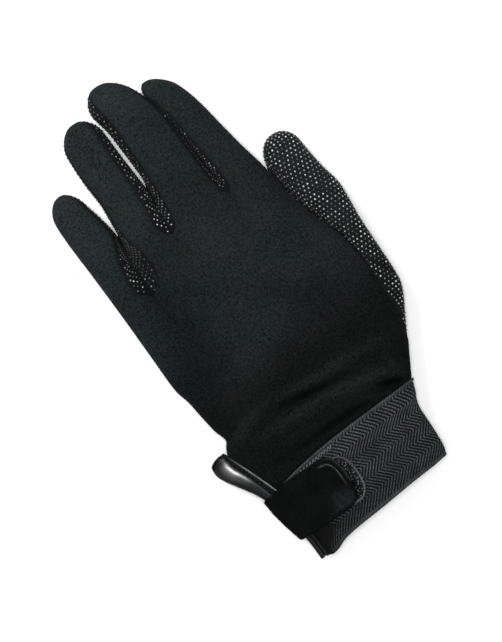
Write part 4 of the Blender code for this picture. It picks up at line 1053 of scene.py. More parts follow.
CUFF_ROWS = np.array([1, 0.95, 0.75, 0.5, 0.28, 0.13])
VENT_ROWS = np.array([0, 0.07, 0.137, 0.19, VENT_APEX])
back_edge = np.concatenate([
    cuff_sheet(CUFF_ROWS, np.zeros(len(CUFF_ROWS))),
    np.stack([border_x(0, VENT_ROWS, "back"), border_y(0, VENT_ROWS, "back"),
              border_height(0, VENT_ROWS, "back")], -1)])
back_curve = smooth_path(back_edge, 14)


def beside_vent(place, offset, height):
    """A point that far down the vent and out from its edge, at a share of the side height."""
    y = VENT_TOP - place * VENT_LENGTH
    x = np.interp(y, back_curve[:, 1], back_curve[:, 0]) - offset * FACING_WIDTH
    return np.stack([x, y, side_height(y) * height], -1)


inner = smooth_path(beside_vent(FACINGS[:, 0], FACINGS[:, 1], INNER_LEVEL), 12)
outer = smooth_path(beside_vent(FACINGS[:, 2], FACINGS[:, 3], OUTER_LEVEL), 12)
print("vent edge", back_edge.shape, "facing", inner.shape)

# %% Facing: a strip whose cross-section is a flattened oval, with a rounded end at the top of the vent
FACING_OVAL, UNDERSIDE, SWELL_WAVE, WAVE_LENGTH = (2.3, 2.1), 0.4, 0.03, 0.012
PINCH, FIRST_STITCH = 0.10, 0.003
middle, half = (inner + outer) / 2, (inner - outer) / 2
width = 2 * np.linalg.norm(half, axis=1)
arc = arc_lengths(middle)
up_vent = (middle[0] - middle[4]) / np.linalg.norm(middle[0] - middle[4])
CAP_DEPTH, CAP_TURN = 0.0016, np.linspace(math.pi / 2, 0, 9)[:-1, None]
cap_middle = middle[0] + up_vent * CAP_DEPTH * np.sin(CAP_TURN)
cap_half = half[0] * np.cos(CAP_TURN) ** 0.7
strip_middle = np.concatenate([cap_middle, middle, middle[-1:]])
strip_half = np.concatenate([cap_half, half, half[-1:] * 0])
shrink = np.concatenate([np.cos(CAP_TURN[:, 0]) ** 0.6, np.ones(len(middle)), [0]])
strip_arc = np.concatenate([-CAP_DEPTH * np.sin(CAP_TURN[:, 0]), arc, arc[-1:]])
strip_width = np.concatenate([np.full(len(CAP_TURN), width[0]), width, width[-1:]])
swell = FACING_SWELL * (strip_width / FULL_WIDTH) ** 0.8 * shrink
swell = swell * (1 + SWELL_WAVE * waves(strip_arc, strip_arc * 0, WAVE_LENGTH, 41))
angle = np.linspace(0, 2 * math.pi, 49)
c = rounded(np.cos(angle), FACING_OVAL[0])[None, :]
s = rounded(np.sin(angle), FACING_OVAL[1])[None, :]
sewn_side = smooth(0.70, 1.0, c) * (strip_arc[:, None] > FIRST_STITCH)
pinch = 1 - PINCH * sewn_side * np.cos(2 * math.pi * strip_arc[:, None] / FACING_STITCH)
rise = np.where(s > 0, swell[:, None] * s * pinch, UNDERSIDE * swell[:, None] * s)
facing = strip_middle[:, None] + strip_half[:, None] * c[..., None]
facing[..., 2] += rise
facing_uv = np.stack(np.broadcast_arrays((angle * 0.0015)[None, :], strip_arc[:, None]), -1)
facing_gloss = 0.12 + 0.88 * smooth(0.0005, 0.0050, strip_arc) * smooth(0.0185, 0.0110, strip_arc)
facing_gloss = facing_gloss[:, None] * mix(0.15, 1, smooth(-0.55, 0.15, c))

# %% Flange: the facing's flat inner part, which runs in under the back and closes the vent
FLANGE_UNDER, FLANGE_BELOW, FLANGE_THICK = 0.0022, 0.0022, 0.0005
under_back = np.stack([np.interp(inner[:, 1], back_curve[:, 1], back_curve[:, 0]) + FLANGE_UNDER, inner[:, 1],
                       np.interp(inner[:, 1], back_curve[:, 1], back_curve[:, 2]) - FLANGE_BELOW], -1)
near_line = inner + (outer - inner) * 0.12 + np.array([0, 0, -0.0006])
flange_middle, flange_half = (near_line + under_back) / 2, (under_back - near_line) / 2
flange_ends = np.concatenate([[0], np.ones(len(inner) - 2), [0]])[:, None]
turn = np.linspace(0, 2 * math.pi, 17)
c, s = rounded(np.cos(turn), 3)[None, :], rounded(np.sin(turn), 3)[None, :]
flange = flange_middle[:, None] + flange_half[:, None] * (c * flange_ends)[..., None]
flange[..., 2] += FLANGE_THICK * s * flange_ends
flange_run = np.linspace(0, 0.062, len(inner))[:, None]
flange_uv = np.stack(np.broadcast_arrays((turn * 0.001)[None, :], flange_run), -1)

# %% Piping: a thin roll up the vent's back edge and round the facing's rounded end
PIPING_RADIUS, PIPING_ROWS, PIPING_NUDGE = 0.00062, 300, np.array([-0.0003, 0, 0.0002])
WRAP = np.radians([15, 45, 80, 115, 145, 168])[:, None]
# Height of the wrap round the facing's end, by its turn in radians
WRAP_TURNS, WRAP_LEVELS = [0, 1.4, 3.0], [0.0103, 0.0088, 0.0084]
rim_line = middle[0] + half[0] * np.cos(WRAP) + up_vent * CAP_DEPTH * np.sin(WRAP)
rim_line[:, 2] = np.interp(WRAP[:, 0], WRAP_TURNS, WRAP_LEVELS)
piping_points = np.concatenate([back_edge[:-2] + PIPING_NUDGE, rim_line, outer[6:31:8]])
piping_line = evenly(smooth_path(piping_points, 12), PIPING_ROWS)
run = np.gradient(piping_line, axis=0)
run /= np.linalg.norm(run, axis=1, keepdims=True)
side = np.cross(run, np.array([0, 0, 1.0]))
side /= np.linalg.norm(side, axis=1, keepdims=True)
up = np.cross(side, run)
share = np.linspace(0, 1, PIPING_ROWS)
radius = PIPING_RADIUS * (1 - 0.65 * smooth(0.80, 0.98, share)) * np.sqrt(np.clip(share / 0.006, 0, 1))
radius = radius * np.sqrt(np.clip((1 - share) / 0.02, 0, 1)) + 1e-7
piping = (piping_line[:, None] + (side[:, None] * np.cos(turn)[None, :, None]
                                  + up[:, None] * np.sin(turn)[None, :, None]) * radius[:, None, None])
piping_uv = np.stack(np.broadcast_arrays((turn * 0.0008)[None, :], (share * 0.09)[:, None]), -1)
piping_gloss = (0.75 * smooth(0.30, 0.42, share) * smooth(0.78, 0.68, share))[:, None] + 0 * turn[None, :]

# %% Binding object
mesh = grids_to_mesh("leather_binding", [
    (facing, facing_uv, False, {"gloss": facing_gloss}), (piping, piping_uv, False, {"gloss": piping_gloss}),
    (flange, flange_uv, False, {"gloss": 0.0})])
weld(mesh, within=2e-6, outwards=True)
pieces["vent_binding"] = finish_mesh("leather_binding", mesh, "vent_binding")
print("binding", len(pieces["vent_binding"].data.polygons), "faces")

# %% [markdown]
# ## The grip dots
# The grip fabric carries raised rubbery dots in a triangular pattern, printed on the flat cloth before it
# was sewn. So they are laid out on the cloth's own map: rows of dots at even arc lengths, every other row
# shifted by half a pitch. Each dot is one small dome, turned to the cloth where it lands.

# %% Dot places
DOT_PITCH, DOT_ROW, DOT_RADIUS, DOT_MARGIN = 0.0023, 0.0020, 0.00044, 0.0010
DOTS_APART, DOTS_LEFT = 0.7, 0.90
DOT_GRIDS = {"palm_panel": ["palm_hand"] + [f.name + "_palm" for f in FINGERS],
             "thumb": ["thumb_outer", "thumb_inner"], **{name: [name] for name in FOURCHETTES}}


def dot_places(grid):
    """Marches up the middle column in steps of a row, and across each row in steps of a pitch."""
    middle = grid.shape[1] // 2
    climb, found = arc_lengths(grid[:, middle]), []
    for number, height in enumerate(np.arange(DOT_ROW / 2, climb[-1], DOT_ROW)):
        at = np.interp(height, climb, np.arange(len(climb)))
        low = min(int(at), len(grid) - 2)
        row = mix(grid[low], grid[low + 1], at - low)
        run = arc_lengths(row)
        run, shift = run - run[middle], number % 2 / 2
        first, last = np.ceil(run[0] / DOT_PITCH - shift), np.floor(run[-1] / DOT_PITCH - shift)
        spots = (np.arange(first, last + 1) + shift) * DOT_PITCH
        found.append(np.stack([np.interp(spots, run, row[:, axis]) for axis in range(3)], -1))
    return np.concatenate(found) + TO_FRAME


def thin_out(places, nearest):
    """Keeps a dot only where no earlier kept group has one closer than nearest."""
    kept = places[0]
    for group in places[1:]:
        kept = np.concatenate([kept, group[distance_to(group, kept) > nearest]])
    return kept


# %% How bright the dots are
# The dullest dot, the power on the dots' random brightness, and the width of the painted shade on dots beside
# the thumb's crease
DULLEST_DOT, DOT_CONTRAST, CREASE_SHADE_WIDTH = 0.05, 1.85, 0.0021
# Painted shade on the dots: from dull to bright as the cloth turns upwards, as the crotch comes near and from
# one side wall to the other
WALL_UPWARDS, NEAR_CROTCH, OVER_TO_LIT = (0.40, 0.85), (0.015, 0.008), (-0.15, 0.15)
# On the thumb, painted shade: from dull to bright as the cloth turns upwards, and how bright sideways dots
# stay
THUMB_UPWARDS, THUMB_SIDE_SHADE = (0.30, 0.80), 0.35
# Painted shade on the side-wall dots: how bright they are well up the fingers, in the last stretch before the
# crotch, and on the duller, shaded one of the two walls, and which way along x the brighter, lit wall looks
SHADED_WALL_DOTS = {"fourchette_ring_little": (0.30, 1.0, 0.30, 1), "fourchette_middle_ring": (0.75, 1.1, 0.45, 1),
             "fourchette_index_middle": (0.90, 1.1, 0.45, -1)}

# %% One dome
DOME_SIDES, DOME_TOP = 8, 0.95
# Rings of the dome from its foot up: radius and height, as shares of the dot's radius
DOME_RINGS = [(1, -0.25), (0.72, 0.62)]
ring_turn = np.linspace(0, 2 * math.pi, DOME_SIDES, endpoint=False)
DOME = np.concatenate([np.stack([r * np.cos(ring_turn), r * np.sin(ring_turn), 0 * ring_turn + z], -1)
                       for r, z in DOME_RINGS] + [[[0, 0, DOME_TOP]]])
foot = np.arange(DOME_SIDES)
beside = (foot + 1) % DOME_SIDES
DOME_FACES = np.concatenate([np.stack(corners, -1) for corners in (
    (foot, beside, DOME_SIDES + beside), (foot, DOME_SIDES + beside, DOME_SIDES + foot),
    (DOME_SIDES + foot, DOME_SIDES + beside, 0 * foot + 2 * DOME_SIDES))])
print("dome", len(DOME), "points", len(DOME_FACES), "faces")

# %% The dots of each panel
seam_points = place[edge_ends[sewn | free_edge]].reshape(-1, 3)


def make_dots(panel, names, seed):
    """Snaps each place to the finished cloth, and joins one dome for each into a single mesh.

    A dot that looks sideways, deep between two fingers, is painted duller as shade; so are the thumb's
    sideways dots and those in its crease."""
    spots = thin_out([dot_places(grids[name]) for name in names], DOT_PITCH * DOTS_APART)
    spots = spots[distance_to(spots, seam_points) > DOT_MARGIN]
    if panel in FOURCHETTES:
        spots = spots[np.random.default_rng(seed + 20).uniform(0, 1, len(spots)) < DOTS_LEFT]
    cloth_mesh = pieces[panel].data
    tree = BVHTree.FromPolygons([v.co for v in cloth_mesh.vertices],
                                [face.vertices for face in cloth_mesh.polygons])
    landed = [tree.find_nearest(Vector(spot)) for spot in spots]
    at, up = np.array([hit[0] for hit in landed]), np.array([hit[1] for hit in landed])
    random = np.random.default_rng(seed)
    size = DOT_RADIUS * random.uniform(0.86, 1.08, len(at))[:, None, None]
    side = np.cross(up, np.array([0.31, 0.95, 0.05]))
    side /= np.linalg.norm(side, axis=1, keepdims=True)
    third = np.cross(up, side)
    tall = (DOT_HEIGHT / DOME_TOP) / DOT_RADIUS
    shape = (DOME[None, :, 0:1] * side[:, None] + DOME[None, :, 1:2] * third[:, None]
             + DOME[None, :, 2:3] * tall * up[:, None])
    points = (at[:, None] + shape * size).reshape(-1, 3)
    points[:, 2] = np.maximum(points[:, 2], JUST_ABOVE)
    faces = (DOME_FACES[None] + len(DOME) * np.arange(len(at))[:, None, None]).reshape(-1, 3)
    bright = DULLEST_DOT + (1 - DULLEST_DOT) * random.uniform(0, 1, len(at)) ** DOT_CONTRAST
    # Painted shade: dots turned sideways, on the shaded wall and in the thumb's crease are dimmer
    if panel in FOURCHETTES:
        far, near, dull, way_lit = SHADED_WALL_DOTS[panel]
        near_crotch = smooth(*NEAR_CROTCH, at[:, 1] - at[:, 1].min())
        bright = bright * smooth(*WALL_UPWARDS, np.abs(up[:, 2])) * mix(far, near, near_crotch)
        bright = bright * mix(dull, 1, smooth(*OVER_TO_LIT, up[:, 0] * way_lit))
    if panel == "thumb":
        bright = bright * mix(THUMB_SIDE_SHADE, 1, smooth(*THUMB_UPWARDS, np.abs(up[:, 2])))
        bright = bright * (1 - beside_crease(at[:, 0], at[:, 1], CREASE_SHADE_WIDTH))
    mesh = new_mesh(panel + "_dots", points, faces.tolist(), brightness=np.repeat(bright, len(DOME)))
    return finish_mesh(panel + "_grip_dots", mesh, sharp=80)


dots = {panel: make_dots(panel, names, 50 + n) for n, (panel, names) in enumerate(DOT_GRIDS.items())}
print("dots", {panel: len(piece.data.polygons) // len(DOME_FACES) for panel, piece in dots.items()})

# %% [markdown]
# ## Stitches
# The loop patch is held by a zigzag of thread round its edge, and the band by a row of short stitches
# under its top selvedge. A stitch is a short tube that dives into the cloth at both ends. All stitches of
# a row are one mesh: the same small shape, carried to each place at once.

# %% Stitch rows
STITCH_SIDES = 6
STITCH_TURN = np.linspace(0, 2 * math.pi, STITCH_SIDES, endpoint=False)
STITCH_RUN = np.array([-0.5, -0.42, -0.2, 0.2, 0.42, 0.5])
STITCH_BOW = np.array([-1.2, 0.1, 0.85, 0.85, 0.1, -1.2])
ZIGZAG_PITCH, ZIGZAG_SINK = 0.0016, 0.0004
PATCH_THREAD, BAND_THREAD, FACING_THREAD = 0.00019, 0.00024, 0.00022


def stitch_row(name, starts, ends, radius):
    """Tubes from starts to ends: ring centres rise along a bow, and rings turn round each stitch's line."""
    length = np.linalg.norm(ends - starts, axis=1, keepdims=True)
    line = (ends - starts) / length
    side = np.cross(line, np.array([0, 0, 1.0]))
    side /= np.linalg.norm(side, axis=1, keepdims=True)
    up = np.cross(side, line)
    middle = (starts + ends) / 2
    centre = (middle[:, None] + line[:, None] * (STITCH_RUN[None, :] * length)[..., None]
              + up[:, None] * (STITCH_BOW * radius)[None, :, None])
    ring = (side[:, None, None] * np.cos(STITCH_TURN)[None, None, :, None]
            + up[:, None, None] * np.sin(STITCH_TURN)[None, None, :, None]) * radius
    points = (centre[:, :, None] + ring).reshape(-1, 3)
    foot, spot = np.arange(len(STITCH_RUN) - 1)[:, None] * STITCH_SIDES, np.arange(STITCH_SIDES)[None, :]
    cell, beside = foot + spot, foot + (spot + 1) % STITCH_SIDES
    faces = np.stack([cell, cell + STITCH_SIDES, beside + STITCH_SIDES, beside], -1).reshape(-1, 4)
    first = len(STITCH_RUN) * STITCH_SIDES * np.arange(len(starts))
    lids = np.concatenate([first[:, None] + spot, first[:, None] + foot[-1] + STITCH_SIDES + spot[:, ::-1]])
    faces = (faces[None] + first[:, None, None]).reshape(-1, 4)
    mesh = new_mesh(name, points + TO_FRAME, faces.tolist() + lids.tolist())
    weld(mesh, outwards=True)
    return finish_mesh(name, mesh)


def zigzag_row(name, upper, lower, radius):
    """Stitches from each upper place down to the lower one beside it, and from there up to the next."""
    starts = np.concatenate([upper[:-1], lower[:-1]])
    ends = np.concatenate([lower[:-1], upper[1:]])
    return stitch_row(name, starts, ends, radius)


patch_top = patch_middle + grid_normals(patch_middle) * (PATCH_WALL / 2 + 0.00025)
inner_line = np.concatenate([patch_top[3, 45:3:-1], patch_top[3:58, 3], patch_top[57, 3:45]])
outer_line = np.concatenate([patch_top[0, 45:0:-1], patch_top[0:61, 0], patch_top[60, 0:45]])
count = int(arc_lengths(outer_line)[-1] / ZIGZAG_PITCH)
outside_places = evenly(outer_line, count) - np.array([0, 0, ZIGZAG_SINK])
stitches = [zigzag_row("patch_zigzag_thread", outside_places, evenly(inner_line, count), PATCH_THREAD)]

# %% Stitches under the band's top edge and beside the facing
BAND_STITCH_ROWS, BAND_STITCH_SPAN, BAND_STITCHES = np.array([0.0016, 0.0036]), (0.03, 0.42), 18
BAND_STITCH_LIFT = 0.00042
band_lines = cuff_sheet(BAND_STITCH_ROWS[:, None] / CUFF_DEPTH, np.linspace(*BAND_STITCH_SPAN, 60)[None, :])
band_lines = band_lines - grid_normals(band_lines) * BAND_STITCH_LIFT
upper_places, lower_places = (evenly(line, BAND_STITCHES) for line in band_lines)
stitches.append(zigzag_row("band_top_thread", upper_places, lower_places, BAND_THREAD))
seam_line = inner[10:100] + np.array([0.0002, 0, 0.0012])
places = evenly(seam_line, 2 * int(arc_lengths(seam_line)[-1] / FACING_STITCH))
stitches.append(stitch_row("facing_thread", places[0:-1:2], places[1::2], FACING_THREAD))

# %% [markdown]
# ## Cloth effects shared by the materials
# Three effects come back in several finishes, so each is a node group with named inputs: soft mottling of
# the colour, the little bumps of a knit, and the cells of a grain. Each group gives out only values, which
# feed the colour, the roughness or a Bump node in the material itself.

# %% Node helpers
def add(tree, kind, sockets=None, **settings):
    """A node with its settings, whose inputs are numbers or links to other nodes' outputs."""
    made = tree.nodes.new(kind)
    for key, value in settings.items():
        setattr(made, key, value)
    for key, value in (sockets or {}).items():
        if isinstance(value, bpy.types.NodeSocket):
            tree.links.new(value, made.inputs[key])
        else:
            made.inputs[key].default_value = value
    return made


def sum_of(tree, operation, first, second=0.0, third=0.0):
    """Result of one Math node on up to three values."""
    return add(tree, "ShaderNodeMath", {0: first, 1: second, 2: third}, operation=operation).outputs[0]


def new_group(name, inputs, outputs):
    """An empty node group with named inputs and outputs, its input sockets and its output node."""
    tree = bpy.data.node_groups.new(name, "ShaderNodeTree")
    for label, kind, value in inputs:
        socket = tree.interface.new_socket(label, in_out="INPUT", socket_type=kind)
        if value is not None:
            socket.default_value = value
    for label, kind in outputs:
        tree.interface.new_socket(label, in_out="OUTPUT", socket_type=kind)
    return tree, tree.nodes.new("NodeGroupInput").outputs, tree.nodes.new("NodeGroupOutput")


# %% Mottle: two sizes of noise, as cloth that has picked up light unevenly
mottle, given, out = new_group(
    "cloth_mottle", [("Vector", "NodeSocketVector", None), ("Broad", "NodeSocketFloat", 60.0),
                     ("Fine", "NodeSocketFloat", 800.0), ("Balance", "NodeSocketFloat", 0.5)],
    [("Shade", "NodeSocketFloat"), ("Fuzz", "NodeSocketFloat")])
broad = add(mottle, "ShaderNodeTexNoise", {"Vector": given["Vector"], "Scale": given["Broad"], "Detail": 2.0})
fine = add(mottle, "ShaderNodeTexNoise", {"Vector": given["Vector"], "Scale": given["Fine"], "Detail": 3.0,
                                          "Roughness": 0.65})
both = add(mottle, "ShaderNodeMix", {"Factor": given["Balance"], 2: broad.outputs["Fac"],
                                     3: fine.outputs["Fac"]}, data_type="FLOAT")
spread = add(mottle, "ShaderNodeMapRange", {"Value": both.outputs[0], "From Min": 0.3, "From Max": 0.7})
mottle.links.new(spread.outputs[0], out.inputs["Shade"])
mottle.links.new(fine.outputs["Fac"], out.inputs["Fuzz"])

# %% Knit: rows of little loops, from two crossed sine waves on the cloth's own map
knit, given, out = new_group(
    "knit_loops", [("Vector", "NodeSocketVector", None), ("Wales", "NodeSocketFloat", 0.0009),
                   ("Courses", "NodeSocketFloat", 0.0007)], [("Height", "NodeSocketFloat")])
parts_of = add(knit, "ShaderNodeSeparateXYZ", {"Vector": given["Vector"]})
wale = sum_of(knit, "DIVIDE", parts_of.outputs["X"], given["Wales"])
course = sum_of(knit, "DIVIDE", parts_of.outputs["Y"], given["Courses"])
ridge_wave = sum_of(knit, "ABSOLUTE", sum_of(knit, "SINE", sum_of(knit, "MULTIPLY", wale, math.pi)))
loop_phase = sum_of(knit, "ADD", course, sum_of(knit, "MULTIPLY", ridge_wave, 0.45))
loop_wave = sum_of(knit, "SINE", sum_of(knit, "MULTIPLY", loop_phase, 2 * math.pi))
loop_wave = sum_of(knit, "MULTIPLY_ADD", loop_wave, 0.3, 0.7)
knit.links.new(sum_of(knit, "MULTIPLY", ridge_wave, loop_wave), out.inputs["Height"])

# %% Grain: rounded cells with creases between them
grain, given, out = new_group(
    "cell_grain", [("Vector", "NodeSocketVector", None), ("Scale", "NodeSocketFloat", 1500.0)],
    [("Height", "NodeSocketFloat"), ("Speck", "NodeSocketFloat")])
cells = add(grain, "ShaderNodeTexVoronoi", {"Vector": given["Vector"], "Scale": given["Scale"]},
            feature="SMOOTH_F1")
specks = add(grain, "ShaderNodeTexNoise", {"Vector": given["Vector"], "Scale": given["Scale"],
                                           "Detail": 1.0})
bright = add(grain, "ShaderNodeMapRange", {"Value": specks.outputs["Fac"], "From Min": 0.60,
                                           "From Max": 0.76})
grain.links.new(cells.outputs["Distance"], out.inputs["Height"])
grain.links.new(bright.outputs[0], out.inputs["Speck"])
print("groups", [group.name for group in bpy.data.node_groups])

# %% [markdown]
# ## Materials
# All the cloth here is near black, so what tells the pieces apart is how each one scatters light. Jersey
# and pile are rough with a faint sheen, the elastic's threads are lighter on top than in their valleys,
# the tab's pile swallows light, and the leather answers with sharp highlights.

# %% Material helpers
def new_material(name):
    """A material, its tree and shader, and the two places that patterns read: object and cloth map."""
    finish = bpy.data.materials.new(name)
    finish.use_nodes = True
    tree = finish.node_tree
    place_of = add(tree, "ShaderNodeTexCoord")
    return finish, tree, tree.nodes["Principled BSDF"], place_of.outputs["Object"], place_of.outputs["UV"]


def group(tree, group_tree, **sockets):
    """The outputs of a placed node group, whose inputs are set by keyword."""
    return add(tree, "ShaderNodeGroup", {key.replace("_", " "): value for key, value in sockets.items()},
               node_tree=group_tree).outputs


def blend_colour(tree, share, first, second):
    """Mix of two colours by a share. Each is three numbers or a link."""
    def four(value):
        return value if isinstance(value, bpy.types.NodeSocket) else (*value, 1)
    mixed = add(tree, "ShaderNodeMix", {"Factor": share, 6: four(first), 7: four(second)}, data_type="RGBA")
    return mixed.outputs[2]


def own_value(tree, name):
    """The value that a piece's points carry under this name."""
    return add(tree, "ShaderNodeAttribute", attribute_name=name).outputs["Fac"]


def up_the_hand(tree, where, low, high, shade_low=0.0, shade_high=1.0, **settings):
    """A shade that changes along the hand, from its value at one y of the frame to that at another."""
    y = add(tree, "ShaderNodeSeparateXYZ", {"Vector": where}).outputs["Y"]
    return add(tree, "ShaderNodeMapRange", {"Value": y, "From Min": low, "From Max": high,
                                            "To Min": shade_low, "To Max": shade_high}, **settings).outputs[0]


def paint(tree, shader, colour, shade=None):
    """Links a colour to the shader, made lighter or darker by a shade where one is given."""
    if shade is not None:
        colour = add(tree, "ShaderNodeVectorMath", {0: colour, "Scale": shade}, operation="SCALE").outputs[0]
    tree.links.new(colour, shader.inputs["Base Color"])


def bump(tree, shader, height, distance, strength=1.0, under=None):
    """A Bump node on the shader's normal, laid over another one where that is given."""
    made = add(tree, "ShaderNodeBump", {"Height": height, "Distance": distance, "Strength": strength})
    if under is not None:
        tree.links.new(under, made.inputs["Normal"])
    tree.links.new(made.outputs[0], shader.inputs["Normal"])
    return made.outputs[0]


def set_shader(shader, **values):
    """Sets the shader's inputs by keyword, with _ for a space."""
    for key, value in values.items():
        shader.inputs[key.replace("_", " ")].default_value = value


# %% Jersey: slate grey, painted darker towards the cuff as shade, paler towards the fingertips as painted light, and paler on the ridges of its folds and darker in their hollows as painted shade
jersey, tree, shader, where, uv = new_material("jersey")
soft = group(tree, mottle, Vector=where, Broad=45.0, Fine=1050.0, Balance=0.84)
clouds = group(tree, mottle, Vector=where, Broad=28.0, Fine=90.0, Balance=0.30)
loops_of = group(tree, knit, Vector=uv, Wales=0.0009, Courses=0.0007)
# Painted light and shade: near black towards the cuff, lighter towards the fingertips
past_folds = up_the_hand(tree, where, -0.046, 0.008, interpolation_type="SMOOTHSTEP")
outwards = add(tree, "ShaderNodeVectorMath", {0: where, 1: (-0.6, 0.8, 0.0)}, operation="DOT_PRODUCT")
tip_light = add(tree, "ShaderNodeMapRange", {"Value": outwards.outputs["Value"], "From Min": 0.045,
                                             "From Max": 0.095, "To Min": 0.74, "To Max": 1.05})
# Painted shade of the folds: lighter on their ridges, darker in their hollows
fold_shade = sum_of(tree, "MULTIPLY_ADD", own_value(tree, "ridge"), 0.95, 1.06)
dark = blend_colour(tree, soft["Shade"], (0.0003, 0.0004, 0.0004), (0.0066, 0.0079, 0.0072))
light = blend_colour(tree, soft["Shade"], (0.0006, 0.0016, 0.0018), (0.0178, 0.0232, 0.0240))
purple = blend_colour(tree, soft["Shade"], (0.0012, 0.0014, 0.0020), (0.0190, 0.0200, 0.0225))
tinted = blend_colour(tree, sum_of(tree, "MULTIPLY_ADD", clouds["Shade"], 1.2, -0.35), light, purple)
cloth_tone = blend_colour(tree, past_folds, dark, tinted)
paint(tree, shader, cloth_tone, sum_of(tree, "MULTIPLY", tip_light.outputs[0], fold_shade))
set_shader(shader, Roughness=0.92, Specular_IOR_Level=0.03, Sheen_Weight=0.015, Sheen_Roughness=0.45,
           Sheen_Tint=(0.75, 0.88, 0.92, 1))
lumps = bump(tree, shader, soft["Fuzz"], 0.00025, 0.7)
bump(tree, shader, loops_of["Height"], 0.00012, 0.8, lumps)

# %% Grip fabric: plain dense weave, painted darker towards the wrist as shade, and in a darker copy on the side walls as painted shade deep between the fingers
def grip_material(name, low, high):
    """Knitted grip fabric between two colours, painted darker towards the wrist as shade."""
    finish, tree, shader, where, uv = new_material(name)
    soft = group(tree, mottle, Vector=where, Broad=90.0, Fine=1000.0, Balance=0.6)
    loops_of = group(tree, knit, Vector=uv, Wales=0.00055, Courses=0.00055)
    shade_to_wrist = up_the_hand(tree, where, -0.030, 0.030, 0.42, 0.85)
    paint(tree, shader, blend_colour(tree, soft["Shade"], low, high), shade_to_wrist)
    set_shader(shader, Roughness=0.8, Specular_IOR_Level=0.06, Sheen_Weight=0.015, Sheen_Roughness=0.4)
    lumps = bump(tree, shader, soft["Fuzz"], 0.0002, 0.6)
    bump(tree, shader, loops_of["Height"], 0.00012, 0.8, lumps)
    return finish


grip = grip_material("grip_fabric", (0.0024, 0.0030, 0.0032), (0.0108, 0.0128, 0.0132))
# The same grip fabric in darker colours for the side walls: painted shade between the fingers
shaded_side_wall = grip_material("side_wall_fabric", (0.0010, 0.0013, 0.0014), (0.0058, 0.0068, 0.0072))

# %% Dots: pale rubber, glossy on top, no two quite as bright, and dimmed by painted shade where they turn sideways or lie deep
dot_rubber, tree, shader, where, uv = new_material("grip_dot_rubber")
brightness = own_value(tree, "brightness")
paint(tree, shader, blend_colour(tree, brightness, (0.010, 0.011, 0.011), (0.46, 0.49, 0.49)))
set_shader(shader, Roughness=0.42, Specular_IOR_Level=0.35)
tiny = group(tree, mottle, Vector=where, Broad=900.0, Fine=2500.0, Balance=0.5)
bump(tree, shader, tiny["Fuzz"], 0.00005, 0.5)

# %% Elastic: pale thread tops over dark valleys, with a bead wherever a thread comes up
elastic, tree, shader, where, uv = new_material("elastic_weave")
soft = group(tree, mottle, Vector=where, Broad=120.0, Fine=1600.0, Balance=0.7)
lit = up_the_hand(tree, where, -0.115, -0.080, 0.52, 0.86)
beads = group(tree, knit, Vector=uv, Wales=0.0013, Courses=0.0009)
strand = blend_colour(tree, soft["Shade"], (0.006, 0.0070, 0.0073), (0.102, 0.114, 0.118))
raised = add(tree, "ShaderNodeMapRange", {"Value": own_value(tree, "weave_top"), "From Min": 0.25,
                                          "From Max": 0.9})
bead = sum_of(tree, "MULTIPLY_ADD", beads["Height"], 0.85, 0.34)
beaded = sum_of(tree, "MULTIPLY", raised.outputs[0], bead)
paint(tree, shader, blend_colour(tree, beaded, (0.0010, 0.0012, 0.0012), strand), lit)
set_shader(shader, Roughness=0.7, Specular_IOR_Level=0.08)
fibres = add(tree, "ShaderNodeTexNoise", {"Vector": add(tree, "ShaderNodeMapping", {
    "Vector": uv, "Scale": (2600.0, 900.0, 1.0)}).outputs[0], "Scale": 1.0, "Detail": 2.0})
knots = bump(tree, shader, beads["Height"], 0.0002, 0.7)
bump(tree, shader, fibres.outputs["Fac"], 0.00015, 0.8, knots)

# %% Loop pile: dark loops with pale tips, denser at the sewn hem
pile, tree, shader, where, uv = new_material("loop_pile")
grain_of = group(tree, grain, Vector=where, Scale=1300.0)
tips = blend_colour(tree, grain_of["Speck"], (0.0028, 0.0033, 0.0034), (0.165, 0.180, 0.185))
paint(tree, shader, blend_colour(tree, own_value(tree, "hem"), tips, (0.021, 0.024, 0.025)))
set_shader(shader, Roughness=0.9, Specular_IOR_Level=0.05, Sheen_Weight=0.01, Sheen_Roughness=0.4)
bump(tree, shader, grain_of["Height"], 0.0003, 0.9)

# %% Tab: deep velvet, with a smoother border round its end and lint on its lower corner; the border's welt and rim are also painted lighter, as painted highlight
suede, tree, shader, where, uv = new_material("tab_suede")
welt_highlight = own_value(tree, "welt")
soft = group(tree, mottle, Vector=where, Broad=70.0, Fine=1100.0, Balance=0.6)
velvet = blend_colour(tree, soft["Shade"], (0.0006, 0.0008, 0.0007), (0.0034, 0.0039, 0.0036))
lint = blend_colour(tree, soft["Shade"], (0.0010, 0.0013, 0.0014), (0.0120, 0.0145, 0.0155))
velvet = blend_colour(tree, own_value(tree, "fuzzy"), velvet, lint)
paint(tree, shader, blend_colour(tree, welt_highlight, velvet, (0.010, 0.012, 0.012)))
tree.links.new(sum_of(tree, "MULTIPLY_ADD", welt_highlight, -0.50, 0.88), shader.inputs["Roughness"])
tree.links.new(sum_of(tree, "MULTIPLY_ADD", welt_highlight, 0.5, 0.02), shader.inputs["Specular IOR Level"])
bump(tree, shader, soft["Fuzz"], 0.0002, 0.7)

